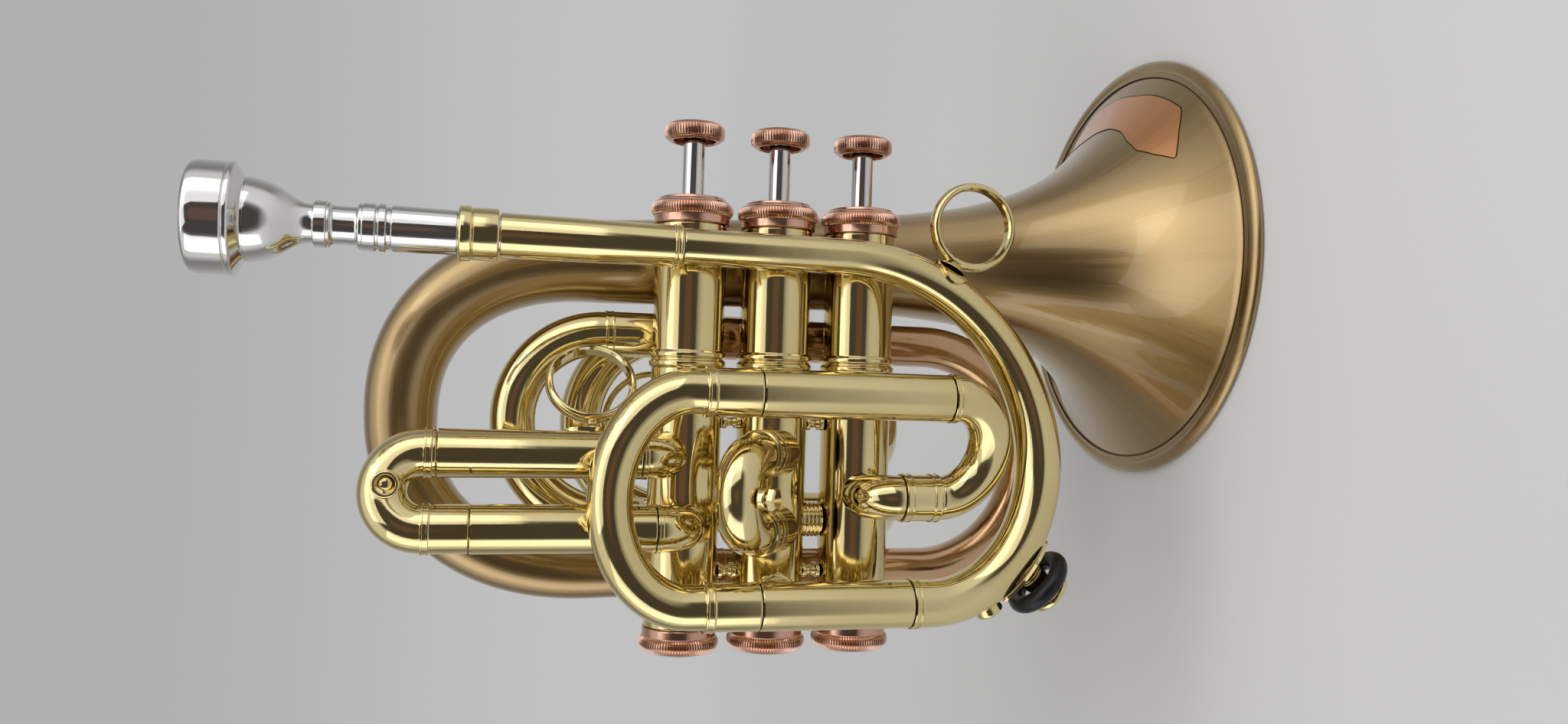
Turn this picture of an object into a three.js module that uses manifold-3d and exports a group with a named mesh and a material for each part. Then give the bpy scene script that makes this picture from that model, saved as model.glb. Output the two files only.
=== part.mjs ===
// Pocket trumpet, standing on its bell rim.
// Millimetres. Z points up to the mouthpiece, X to the finger buttons and Y to the bell side.
import * as THREE from 'three';
import { mergeVertices } from 'three/addons/utils/BufferGeometryUtils.js';
import Module from 'manifold-3d';

const wasm = await Module();
wasm.setup();

// Facets
const tubeSides = 10;
const valveSides = 20;
const ringSides = 20;
const bellSides = 28;
const bendSteps = 7;
const bellBowSteps = 11;
const flareSteps = 10;
const elbowSteps = 9;
const wireSides = 6;
const softRingSides = 8;
const knobSides = 6;
const springSteps = 9;
const bowlSteps = 5;
const cupSteps = 3;

// Fits
const seatGap = 0.3;
const slideGap = 0.4;
const slideStep = 0.1;
const pistonGap = 0.35;
const tubeWall = 0.5;
const brokenEdge = 0.4;
const sleeveRise = 0.35;
const ferruleRise = 0.45;
const cutReach = 20.0;

// Valve block: the middle valve stands at Y = 0 and Z = 0
const casingRadius = 9.75;
const casingBore = 8.4;
const casingBottom = -65.6;
const casingTop = 42.7;
const neckRadius = 9.0;
const topNeckLength = 3.6;
const bottomNeckLength = 4.3;
const beadBase = 4.0;
const beadRise = 0.75;
const beadWidth = 4.7;
const beadSlope = 0.6;
const upperCasingRadius = 9.7;

// Valve caps
const capBandRadius = 10.2;
const capBandHeight = 2.4;
const topKnurlRadius = 11.27;
const topKnurlHeight = 2.8;
const topDomeHeight = 1.7;
const topDomeRun = 3.4;
const capRoof = 2.5;
const capLip = 0.6;
const bottomKnurlRadius = 10.8;
const bottomKnurlHeight = 2.9;
const bottomDomeHeight = 2.2;
const bottomDomeEdge = 0.6;
const bottomDomeRun = 4.5;
const capFloor = 2.4;

// The valves stand as close together as their widest turned pieces allow.
const valveSpace = 1.76;
const widestRadius = Math.max(topKnurlRadius, bottomKnurlRadius, capBandRadius, casingRadius + beadRise);
const valvePitch = 2 * widestRadius + valveSpace;

// Pistons, stems and buttons
const valveTravel = 15.0;
const stemRadius = 2.6;
const stemHoleGap = 0.5;
const pistonFoot = 17.9;
const barrelWall = 1.1;
const barrelDepth = 43.0;
const portRadius = 4.4;
const feltRadius = 4.15;
const feltHeight = 1.4;
const feltDepth = 1.0;
const buttonRadius = 8.26;
const buttonHeight = 4.8;
const buttonHollow = 5.8;
const buttonRoof = 1.7;
const buttonBevel = 1.2;

// Valve guides and springs
const guideHeight = 3.0;
const guideWidth = 3.0;
const guideBase = 5.0;
const guideEase = 0.5;
const springRadius = 5.1;
const springWire = 0.5;
const springTurns = 5;

// Passages and braces between the casings
const knuckleRadius = 5.2;
const knuckleHeights = [-25.0, -33.0];
const linkHeights = [-10.4, -51.2];
const linkSize = 2.4;
const linkWidth = 3.8;

// Bell
const bellSide = 25.5;
const bellAxisAtRim = 42.0;
const bellAxisAtBow = 34.3;
const rimHeight = -127.0;
const rimRadius = 66.5;
const rimBead = 1.5;
const throatRadius = 15.5;
const throatTaper = 0.02;
const flareLength = 25.0;
const bellWall = 0.8;
const bowStart = 46.0;
const bellBowReach = 53.4;
const bowSquareness = 2.25;
const bellEndRadius = 6.45;
const bellEnd = 12.0;

// Bell tail, the polished tube behind the valves
const tailSide = 17.8;
const tailRadius = 6.15;
const tailTop = 13.1;
const tailBottom = -54.0;
const tailBowCentre = -51.0;
const tailTopEnd = 31.0;
const tailCrookRadius = 6.2;
const tailSleeveLength = 12.8;
const tailFerrule = 2.6;
const tailCrookDrop = 2.0;
const tailCrookBottom = -39.3;
const tailPortAside = 6.0;

// Leadpipe, from the mouthpiece to the lower tuning tube
const leadHeight = 34.8;
const leadSide = -18.5;
const receiverTop = 85.5;
const receiverFlange = 3.1;
const receiverLength = 10.0;
const receiverRadius = 6.5;
const receiverFlangeRadius = 6.8;
const leadOuterStart = 5.66;
const leadOuterEnd = 5.35;
const leadEnd = 29.4;
const leadFerrule = 2.6;
const leadFerruleRadius = 5.7;
const bowTubeStart = 4.85;
const bowTubeEnd = 6.2;
const leadBowTop = -14.0;
const leadBowReach = 54.0;
const leadBowTurn = -18.0;
const leadBowTurnReach = 32.5;
const leadBowEndRun = 2.2;

// Mouthpiece
const mouthpieceTop = 145.7;
const rimOuter = 13.4;
const rimCrown = 2.0;
const rimCrest = 2.4;
const rimCylinder = 8.4;
const rimSlope = 2.0;
const cupRadius = 8.3;
const cupDepth = 11.0;
const bowlRadius = 10.2;
const bowlLength = 14.8;
const bowlFullness = 1.3;
const bowlNeck = 4.6;
const collarRadius = 5.7;
const collarWidth = 3.5;
const waistRadius = 4.6;
const waistLength = 6.3;
const lowCollarRadius = 5.8;
const lowCollarWidth = 7.5;
const throatBore = 1.9;
const shankRadius = 5.5;
const shankInsert = 22.0;
const shankSeat = 5.2;
const shankTaper = 0.035;
const socketSpace = 1.5;
const backboreRadius = 3.6;

// Main tuning slide
const tuningSide = -29.0;
const tuningTop = -2.2;
const tuningBottom = -55.8;
const tuningOuter = 6.2;
const tuningSeam = 7.6;
const tuningSleeve = 12.4;
const tuningFerrule = 2.2;
const tuningBowStart = 26.6;
const tuningBowReach = 19.8;
const tuningBowTube = 5.65;
const tuningLeg = 34.0;

// Entry crook, from the upper tuning tube to the third valve
const entryHeight = -29.3;
const entrySide = -18.5;
const entryTube = 5.9;
const entryCrookReach = 11.2;
const entryCrookRise = 0.4;
const entryFerrule = 2.4;
const entrySleeveRise = 0.25;

// Valve elbows
const elbowRadius = 6.3;
const elbowTube = 6.0;
const elbowRun = 1.0;
const elbowStub = 0.5;
const elbowRoot = 4.0;

// First valve slide
const firstTop = -19.6;
const firstTopSide = -9.5;
const firstBottom = -38.0;
const firstBottomSide = -15.5;
const firstOuter = 6.2;
const firstTopPortAside = 5.2;
const firstBottomPortAside = 1.8;
const firstSeam = 80.2;
const firstSleeve = 9.8;
const firstFerrule = 2.0;
const firstBowReach = 9.0;
const firstBowTube = 6.0;
const firstLegSpace = 2.8;
const firstElbowRun = 1.6;
const firstElbowFerrule = 1.4;

// Water key on the first slide's bow
const keyBarrel = 3.4;
const keyBore = 2.3;
const keyRise = 1.4;
const keyDepth = 5.0;
const keyButtonLength = 2.9;
const keyTravel = 1.2;
const keyRoot = 1.0;

// Second valve slide
const secondTop = -18.2;
const secondBottom = -38.4;
const secondAngle = THREE.MathUtils.degToRad(38);
const secondPortLength = 9.5;
const secondPortRoot = 5.0;
const secondInset = 0.3;
const secondOuter = 6.2;
const secondLeg = 6.5;
const secondBowStraight = 6.2;
const secondBowTube = 5.8;
const secondSleeve = 2.4;
const secondFerrule = 1.6;
const knobNeck = 1.6;
const knobHead = 3.0;
const knobLength = 5.0;
const knobCollar = 2.5;
const knobCollarBase = 0.2;
const knobCollarWidth = 2.0;
const knobHeadWidth = 2.1;

// Third valve slide, on the bell side
const thirdSide = 31.5;
const thirdTop = 14.5;
const thirdBottom = -38.7;
const thirdPort = -20.0;
const thirdLean = 6.0;
const thirdBulge = 21.0;
const thirdOuter = 6.1;
const thirdTubeStart = -14.0;
const thirdSeam = 11.0;
const thirdSleeve = 10.0;
const thirdFerrule = 2.0;
const thirdLeg = 20.0;
const thirdBowTube = 5.9;

// Finger rings
const fingerRing = 10.6;
const fingerRingWall = 1.4;
const fingerRingWidth = 2.8;
const fingerRingHeight = 49.8;
const fingerRingLean = THREE.MathUtils.degToRad(34);
const fingerRingStand = 2.8;
const fingerPostLength = 5.0;
const fingerFootLength = 15.0;
const fingerFootWidth = 4.4;
const fingerFootDepth = 3.0;
const pinkyRing = 10.5;
const pinkyRingWall = 1.7;
const pinkyRingWidth = 4.2;
const pinkyRingTurn = THREE.MathUtils.degToRad(29.5);
const pinkyRingStand = 1.6;
const pinkyFoot = 2.6;
const pinkySaddle = 4.4;
const pinkySaddleRise = 1.0;
const pullRing = 13.4;
const pullRingWire = 0.95;

// Thumb spool with its soft ring, on the lower quarter of the leadpipe bow
const spoolTurn = THREE.MathUtils.degToRad(42);
const spoolNeck = 3.6;
const spoolLength = 11.0;
const spoolDisc = 5.9;
const spoolDiscHeight = 2.2;
const saddleLength = 26.4;
const studRadius = 1.3;
const studLength = 3.4;
const studBase = 0.2;
const saddleWidth = 7.0;
const saddleThickness = 1.4;
const saddleSkirt = 2.4;
const softRing = 7.0;
const softRingTube = 2.9;

// Braces
const braceHeight = 49.6;
const braceRod = 1.1;
const braceFoot = 2.4;
const braceFootThickness = 1.3;
const braceFootStretch = 1.6;
const braceInset = 1.5;
const braceLowInset = 3.2;
const bottomBraceRod = 2.6;
const bottomBraceFoot = 5.4;
const bottomBraceFootThickness = 1.6;

// Ends that follow from the loop of the leadpipe: the lower tube starts where the loop ends, and the
// upper tube ends where the entry crook under it just clears the loop.
const loopLow = leadBowTop - leadBowReach;
const lowerTubeEnd = loopLow + leadBowTurnReach + leadBowEndRun + seatGap;
const crookFall = entryCrookReach + (tuningFerrule + seatGap - entryCrookRise) / 2;
const upperTubeEnd = loopLow + bowTubeEnd + seatGap + entryTube + crookFall;
const entryCrookEnd = upperTubeEnd + entryCrookRise;
const entrySleeveEnd = -valvePitch - elbowRadius - elbowRun;

// Ports on the first casing lie a little aside from its axis, and the first slide's legs end just
// above its elbows.
const tailPortHeight = valvePitch + tailPortAside;
const firstTopPort = valvePitch + firstTopPortAside;
const firstBottomPort = valvePitch + firstBottomPortAside;
const firstPortHigh = Math.max(firstTopPort, firstBottomPort);
const firstLegEnd = firstPortHigh + elbowRadius + firstElbowRun + seatGap + firstLegSpace;

// Lacquers and metals
const lacquer = { color: 0xd8b94e, roughness: 0.16, metalness: 1.0 };
const brushed = { color: 0xb08a4c, roughness: 0.42, metalness: 1.0 };
const roseBrass = { color: 0xb9824f, roughness: 0.2, metalness: 1.0 };
const copper = { color: 0xc98a6c, roughness: 0.28, metalness: 1.0 };
const silver = { color: 0xd9d9dc, roughness: 0.15, metalness: 1.0 };
const steel = { color: 0xa9abb0, roughness: 0.35, metalness: 1.0 };
const rubber = { color: 0x151515, roughness: 0.7, metalness: 0.0 };
const felt = { color: 0x6b2a20, roughness: 0.95, metalness: 0.0 };
const plastic = { color: 0xe6e2d6, roughness: 0.6, metalness: 0.0 };

const alongX = new THREE.Vector3(1, 0, 0);
const alongY = new THREE.Vector3(0, 1, 0);
const alongZ = new THREE.Vector3(0, 0, 1);
const trumpet = new THREE.Group();
const body = new THREE.Group();
trumpet.add(body);

// Solids

function vec(x, y, z) {
  return new THREE.Vector3(x, y, z);
}

// Keeps positions only, merges equal corners, drops empty triangles and turns every face out.
function closedBody(geometry) {
  const bare = geometry.clone();
  bare.deleteAttribute('normal');
  bare.deleteAttribute('uv');
  const merged = mergeVertices(bare, 1e-4);
  const corner = merged.attributes.position;
  const kept = [];
  let volume = 0;
  for (let i = 0; i < merged.index.count; i += 3) {
    const face = [0, 1, 2].map((k) => merged.index.getX(i + k));
    if (new Set(face).size < 3) continue;
    kept.push(face);
    const [a, b, c] = face.map((n) => new THREE.Vector3().fromBufferAttribute(corner, n));
    volume += a.dot(b.cross(c));
  }
  merged.setIndex(kept.flatMap(([a, b, c]) => (volume < 0 ? [a, c, b] : [a, b, c])));
  return merged;
}

function toManifold(geometry) {
  const solid = closedBody(geometry);
  const vertProperties = Float32Array.from(solid.attributes.position.array);
  const triVerts = Uint32Array.from(solid.index.array);
  return new wasm.Manifold(new wasm.Mesh({ numProp: 3, vertProperties, triVerts }));
}

function fromManifold(solid) {
  const mesh = solid.getMesh();
  const geometry = new THREE.BufferGeometry();
  geometry.setAttribute('position', new THREE.BufferAttribute(mesh.vertProperties, 3));
  geometry.setIndex(new THREE.BufferAttribute(mesh.triVerts, 1));
  return geometry;
}

function join(...geometries) {
  return fromManifold(geometries.map(toManifold).reduce((whole, piece) => whole.add(piece)));
}

function cut(geometry, ...tools) {
  const start = toManifold(geometry);
  return fromManifold(tools.map(toManifold).reduce((whole, tool) => whole.subtract(tool), start));
}

function place(name, finish, geometry) {
  const solid = closedBody(geometry);
  solid.computeVertexNormals();
  const mesh = new THREE.Mesh(solid, new THREE.MeshStandardMaterial(finish));
  mesh.name = name;
  body.add(mesh);
}

// A turned piece from [height, radius] pairs, about Y.
function turned(profile, sides) {
  const points = profile.map(([height, radius]) => new THREE.Vector2(radius, height));
  return new THREE.LatheGeometry(points, sides);
}

function turnedAlongX(profile, sides, valve) {
  return turned(profile, sides).rotateZ(-Math.PI / 2).translate(0, 0, valveAxis(valve));
}

function turnedAlongZ(profile, sides, x, y) {
  return turned(profile, sides).rotateX(Math.PI / 2).translate(x, y, 0);
}

function rod(from, to, radius, sides) {
  const run = to.clone().sub(from);
  const solid = new THREE.CylinderGeometry(radius, radius, run.length(), sides);
  solid.applyQuaternion(new THREE.Quaternion().setFromUnitVectors(alongY, run.clone().normalize()));
  const middle = from.clone().add(to).multiplyScalar(0.5);
  return solid.translate(middle.x, middle.y, middle.z);
}

// A washer-shaped ring whose axis is Y.
function bandRing(inner, outer, width, bevel, centre) {
  const half = width / 2;
  const profile = [
    [-half, inner + bevel],
    [-half, outer - bevel],
    [-half + bevel, outer],
    [half - bevel, outer],
    [half, outer - bevel],
    [half, inner + bevel],
    [0, inner],
    [-half, inner + bevel],
  ];
  return turned(profile, ringSides).translate(centre.x, centre.y, centre.z);
}

function valveAxis(valve) {
  return (1 - valve) * valvePitch;
}

// The space that a casing and its seat gap take up, to cut a neighbour with.
function casingSpace(valve) {
  const z = valveAxis(valve);
  const from = vec(casingBottom - bottomNeckLength - cutReach, 0, z);
  const to = vec(casingTop + topNeckLength + cutReach, 0, z);
  return rod(from, to, casingRadius + seatGap, valveSides);
}

// Routes for bent tubes

// A straight run whose sections stay level.
class LevelRun extends THREE.LineCurve3 {
  getTangentAt(u, target = new THREE.Vector3()) {
    return target.copy(alongZ);
  }
}

// Part of an ellipse: from centre + start, through centre + quarter.
class Arc extends THREE.Curve {
  constructor(centre, start, quarter, sweep) {
    super();
    this.centre = centre;
    this.start = start;
    this.quarter = quarter;
    this.sweep = sweep;
  }

  getPoint(t, target = new THREE.Vector3()) {
    const angle = t * this.sweep;
    target.copy(this.centre);
    target.addScaledVector(this.start, Math.cos(angle));
    return target.addScaledVector(this.quarter, Math.sin(angle));
  }
}

// Half of a squared ellipse, for the bell's large bow.
class SquaredBow extends Arc {
  getPoint(t, target = new THREE.Vector3()) {
    const angle = t * Math.PI;
    const power = 2 / bowSquareness;
    const across = Math.sign(Math.cos(angle)) * Math.abs(Math.cos(angle)) ** power;
    const out = Math.sin(angle) ** power;
    target.copy(this.centre);
    target.addScaledVector(this.start, across);
    return target.addScaledVector(this.quarter, out);
  }
}

class Route {
  constructor(...curves) {
    this.curves = curves;
    this.lengths = curves.map((curve) => curve.getLength());
    this.length = this.lengths.reduce((sum, length) => sum + length, 0);
  }

  at(distance) {
    let rest = distance;
    let index = 0;
    while (index < this.curves.length - 1 && rest > this.lengths[index]) {
      rest -= this.lengths[index];
      index += 1;
    }
    const u = THREE.MathUtils.clamp(rest / this.lengths[index], 0, 1);
    return { centre: this.curves[index].getPointAt(u), heading: this.curves[index].getTangentAt(u) };
  }

  // Distances where a section is needed: both ends of a straight run, and steps along a bend.
  sections() {
    const marks = [0];
    this.curves.forEach((curve, index) => {
      const start = marks[marks.length - 1];
      const steps = curve instanceof THREE.LineCurve3 ? 1 : curve.steps ?? bendSteps;
      for (let i = 1; i <= steps; i += 1) {
        marks.push(start + (this.lengths[index] * i) / steps);
      }
    });
    return marks;
  }
}

function straight(from, to) {
  return new THREE.LineCurve3(from, to);
}

function halfTurn(from, to, reach) {
  const centre = from.clone().add(to).multiplyScalar(0.5);
  return new Arc(centre, from.clone().sub(centre), reach, Math.PI);
}

function quarterTurn(from, corner, to) {
  const centre = from.clone().add(to).sub(corner);
  return new Arc(centre, from.clone().sub(centre), to.clone().sub(centre), Math.PI / 2);
}

// Lays a piece turned about Y along a route; side is square to the plane that the route bends in.
function bent(geometry, route, side) {
  const corner = geometry.attributes.position;
  for (let i = 0; i < corner.count; i += 1) {
    const { centre, heading } = route.at(corner.getY(i));
    const across = side.clone().cross(heading).normalize();
    const over = across.clone().cross(heading);
    centre.addScaledVector(across, corner.getX(i));
    centre.addScaledVector(over, corner.getZ(i));
    corner.setXYZ(i, centre.x, centre.y, centre.z);
  }
  return geometry;
}

// Outside and bore of a tube: radiusAt gives the outside at a distance, and rings are raised bands on it,
// as far as they lie within the tube's length.
function tubeProfile(marks, radiusAt, wall, rings) {
  const length = marks[marks.length - 1];
  const edges = rings.flatMap((ring) => [ring.from, ring.to]).filter((edge) => edge > 0 && edge < length);
  const wanted = [...marks, ...edges].sort((a, b) => a - b);
  const breaks = wanted.filter((mark, i) => i === 0 || mark - wanted[i - 1] > 1e-6);
  const outsideAt = (distance) => {
    const ring = rings.find(({ from, to }) => distance > from && distance < to);
    return ring ? ring.radius : radiusAt(distance);
  };
  const outside = [];
  const add = (mark, radius) => {
    const last = outside[outside.length - 1];
    if (last && last[0] === mark && Math.abs(last[1] - radius) < 0.01) return;
    outside.push([mark, radius]);
  };
  for (let i = 1; i < breaks.length; i += 1) {
    const [from, to] = [breaks[i - 1], breaks[i]];
    const nudge = (to - from) / 1000;
    add(from, outsideAt(from + nudge));
    add(to, outsideAt(to - nudge));
  }
  const bore = marks.map((mark) => [mark, radiusAt(mark) - wall]).reverse();
  return [...outside, ...bore, outside[0]];
}

function bentTube(route, side, radiusAt, wall = tubeWall, rings = [], sides = tubeSides) {
  return bent(turned(tubeProfile(route.sections(), radiusAt, wall, rings), sides), route, side);
}

function straightTube(from, to, radius, bore, rings = [], sides = tubeSides) {
  const side = Math.abs(to.clone().sub(from).normalize().y) > 0.9 ? alongX : alongY;
  return bentTube(new Route(straight(from, to)), side, () => radius, radius - bore, rings, sides);
}

// Valve block

function casing(valve) {
  const bead = casingRadius + beadRise;
  const lowEnd = casingBottom - bottomNeckLength;
  const highEnd = casingTop + topNeckLength;
  const profile = [
    [lowEnd, neckRadius],
    [casingBottom, neckRadius],
    [casingBottom, casingRadius],
    [beadBase, casingRadius],
    [beadBase + beadSlope, bead],
    [beadBase + beadWidth - beadSlope, bead],
    [beadBase + beadWidth, upperCasingRadius],
    [casingTop, upperCasingRadius],
    [casingTop, neckRadius],
    [highEnd, neckRadius],
    [highEnd, casingBore],
    [lowEnd, casingBore],
    [lowEnd, neckRadius],
  ];
  return turnedAlongX(profile, valveSides, valve);
}

function linksTo(valve) {
  const toward = Math.sign(valveAxis(valve));
  const middle = (toward * valvePitch) / 2;
  const reach = valvePitch / 2 - casingBore;
  const knuckleHeight = knuckleHeights[valve === 0 ? 0 : 1];
  const near = vec(knuckleHeight, 0, middle - reach);
  const far = vec(knuckleHeight, 0, middle + reach);
  const knuckle = rod(near, far, knuckleRadius, tubeSides);
  const braces = linkHeights.map((height) => {
    const brace = new THREE.BoxGeometry(linkSize, linkWidth, reach * 2);
    return brace.translate(height, 0, middle);
  });
  return cut(join(knuckle, ...braces), casingSpace(valve));
}

// The middle valve's bore, cut through the passages that join its casing.
function boreSpace(valve) {
  const z = valveAxis(valve);
  const from = vec(casingBottom - bottomNeckLength - cutReach, 0, z);
  const to = vec(casingTop + topNeckLength + cutReach, 0, z);
  return rod(from, to, casingBore, valveSides);
}

function makeCasings() {
  place('valve_casing_1', lacquer, casing(0));
  place('valve_casing_2', lacquer, cut(join(casing(1), linksTo(0), linksTo(2)), boreSpace(1)));
  place('valve_casing_3', lacquer, casing(2));
}

function topCap(valve) {
  const low = casingTop + seatGap;
  const knurl = low + capBandHeight;
  const shoulder = knurl + topKnurlHeight;
  const top = shoulder + topDomeHeight;
  const roof = top - capRoof;
  const hole = stemRadius + stemHoleGap;
  const recess = feltRadius + seatGap;
  const profile = [
    [low, neckRadius + seatGap],
    [low, capBandRadius],
    [knurl, capBandRadius],
    [knurl + brokenEdge, topKnurlRadius],
    [shoulder, topKnurlRadius],
    [top - brokenEdge, topKnurlRadius - topDomeRun],
    [top, recess + capLip],
    [top, recess],
    [top - feltDepth, recess],
    [top - feltDepth, hole],
    [roof, hole],
    [roof, neckRadius + seatGap],
    [low, neckRadius + seatGap],
  ];
  return turnedAlongX(profile, valveSides, valve);
}

function capTop() {
  return casingTop + seatGap + capBandHeight + topKnurlHeight + topDomeHeight;
}

function feltRing(valve) {
  const base = capTop() - feltDepth + seatGap;
  const hole = stemRadius + stemHoleGap;
  const profile = [
    [base, hole],
    [base, feltRadius],
    [base + feltHeight, feltRadius],
    [base + feltHeight, hole],
    [base, hole],
  ];
  return turnedAlongX(profile, tubeSides, valve);
}

function bottomCap(valve) {
  const high = casingBottom - seatGap;
  const knurl = high - capBandHeight;
  const shoulder = knurl - bottomKnurlHeight;
  const bottom = shoulder - bottomDomeHeight;
  const floor = bottom + capFloor;
  const inside = neckRadius + seatGap;
  const profile = [
    [bottom, 0],
    [bottom + bottomDomeEdge, bottomKnurlRadius - bottomDomeRun],
    [shoulder, bottomKnurlRadius],
    [knurl - brokenEdge, bottomKnurlRadius],
    [knurl, capBandRadius],
    [high, capBandRadius],
    [high, inside],
    [floor, inside],
    [floor, 0],
  ];
  return turnedAlongX(profile, valveSides, valve);
}

// The piston hangs under the top cap: its barrel holds the spring, and its stem carries the button.
function pistonTop() {
  return capTop() - capRoof - seatGap;
}

function buttonTop() {
  return capTop() + feltHeight - feltDepth + seatGap + seatGap + valveTravel + buttonHeight;
}

function piston(valve) {
  const radius = casingBore - pistonGap;
  const top = pistonTop();
  const rest = knuckleHeights[1];
  const bottom = rest - pistonFoot;
  const stemEnd = buttonTop() - buttonRoof - seatGap;
  const profile = [
    [bottom, 0],
    [bottom, radius],
    [top, radius],
    [top, stemRadius],
    [stemEnd, stemRadius],
    [stemEnd, 0],
  ];
  const z = valveAxis(valve);
  const cavityTop = top - barrelWall * 2;
  const cavity = rod(vec(top - barrelDepth, 0, z), vec(cavityTop, 0, z), radius - barrelWall, tubeSides);
  const slotBase = guideBase - seatGap;
  const slotTop = guideBase + guideHeight + valveTravel + seatGap;
  const slot = new THREE.BoxGeometry(slotTop - slotBase, casingBore * 2, guideWidth + 2 * seatGap);
  slot.translate((slotBase + slotTop) / 2, 0, z);
  const through = rod(vec(rest, 0, z - casingBore), vec(rest, 0, z + casingBore), portRadius, tubeSides);
  const pressed = rest + valveTravel;
  const detour = rod(vec(pressed, -casingBore, z), vec(pressed, casingBore, z), portRadius, tubeSides);
  return cut(turnedAlongX(profile, valveSides, valve), cavity, slot, through, detour);
}

function guide(valve) {
  const reach = casingBore - guideEase;
  const bar = new THREE.BoxGeometry(guideHeight, reach * 2, guideWidth);
  return bar.translate(guideBase + guideHeight / 2, 0, valveAxis(valve));
}

function spring(valve) {
  const base = guideBase + guideHeight + springWire + seatGap;
  const top = pistonTop() - barrelWall * 2 - springWire - seatGap;
  const z = valveAxis(valve);
  const coil = new THREE.Curve();
  coil.getPoint = (t, target = new THREE.Vector3()) => {
    const angle = t * springTurns * 2 * Math.PI;
    const across = springRadius * Math.cos(angle);
    const over = z + springRadius * Math.sin(angle);
    return target.set(base + (top - base) * t, across, over);
  };
  const wire = new THREE.Shape().absarc(0, 0, springWire, 0, 2 * Math.PI);
  const steps = springTurns * springSteps;
  return new THREE.ExtrudeGeometry(wire, { extrudePath: coil, steps, curveSegments: 2, bevelEnabled: false });
}

function button(valve) {
  const top = buttonTop();
  const low = top - buttonHeight;
  const profile = [
    [top - buttonRoof, 0],
    [top - buttonRoof, buttonHollow],
    [low, buttonHollow],
    [low, buttonRadius - buttonBevel],
    [low + buttonBevel, buttonRadius],
    [top - buttonBevel, buttonRadius],
    [top, buttonRadius - buttonBevel],
    [top, 0],
  ];
  return turnedAlongX(profile, valveSides, valve);
}

function makeValves() {
  [0, 1, 2].forEach((valve) => {
    place(`top_cap_${valve + 1}`, copper, topCap(valve));
    place(`bottom_cap_${valve + 1}`, copper, bottomCap(valve));
    place(`cap_felt_${valve + 1}`, felt, feltRing(valve));
    place(`piston_${valve + 1}`, silver, piston(valve));
    place(`valve_guide_${valve + 1}`, plastic, guide(valve));
    place(`valve_spring_${valve + 1}`, steel, spring(valve));
    place(`finger_button_${valve + 1}`, copper, button(valve));
  });
}

// Bell and tail

function bellRadiusAt(distance) {
  const throatLength = bowStart - rimHeight;
  const along = Math.min(distance, throatLength);
  const flare = (rimRadius - throatRadius) * Math.exp(-along / flareLength);
  const throat = throatRadius - throatTaper * along + flare;
  if (distance <= throatLength) return throat;
  const rest = (distance - throatLength) / (bellRoute().length - throatLength);
  return THREE.MathUtils.lerp(throat, bellEndRadius, rest);
}

function bellRoute() {
  const rimCentre = vec(bellAxisAtRim, bellSide, rimHeight);
  const bowTop = vec(bellAxisAtBow, bellSide, bowStart);
  const bowBottom = vec(tailBottom, tailSide, bowStart);
  const centre = bowTop.clone().add(bowBottom).multiplyScalar(0.5);
  const bow = new SquaredBow(centre, bowTop.clone().sub(centre), vec(0, 0, bellBowReach), Math.PI);
  bow.steps = bellBowSteps;
  const end = vec(tailBottom, tailSide, bellEnd);
  return new Route(new LevelRun(rimCentre, bowTop), bow, straight(bowBottom, end));
}

// Sections crowd together toward the rim, where the flare opens fast.
function flareMarks() {
  const length = bowStart - rimHeight;
  return Array.from({ length: flareSteps }, (_, i) => length * (i / flareSteps) ** 2);
}

function bell() {
  const route = bellRoute();
  const marks = [...flareMarks().slice(1), ...route.sections().slice(1)];
  const outside = marks.map((mark) => [mark, bellRadiusAt(mark)]);
  const inside = marks.map((mark) => [mark, bellRadiusAt(mark) - bellWall]).reverse();
  const bead = [
    [0, rimRadius - rimBead * 1.5],
    [0, rimRadius - rimBead * 0.5],
    [rimBead * 0.5, rimRadius],
    [rimBead * 1.5, rimRadius],
    [rimBead * 2, rimRadius - rimBead * 0.5],
    [rimBead * 2, rimRadius - rimBead * 1.5],
    [rimBead * 1.5, rimRadius - rimBead * 2],
  ];
  const beyondBead = outside.filter(([mark]) => mark > rimBead * 1.5);
  const insideBead = inside.filter(([mark]) => mark > rimBead);
  return bent(turned([...bead, ...beyondBead, ...insideBead, bead[0]], bellSides), route, alongY);
}

function tailRoute() {
  const start = vec(tailBottom, tailSide, bellEnd - seatGap);
  const low = vec(tailBottom, tailSide, tailBowCentre);
  const high = vec(tailTop, tailSide, tailBowCentre);
  const end = vec(tailTop, tailSide, tailTopEnd);
  const bow = halfTurn(low, high, vec(0, 0, (tailBottom - tailTop) / 2));
  return new Route(straight(start, low), bow, straight(high, end));
}

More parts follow.
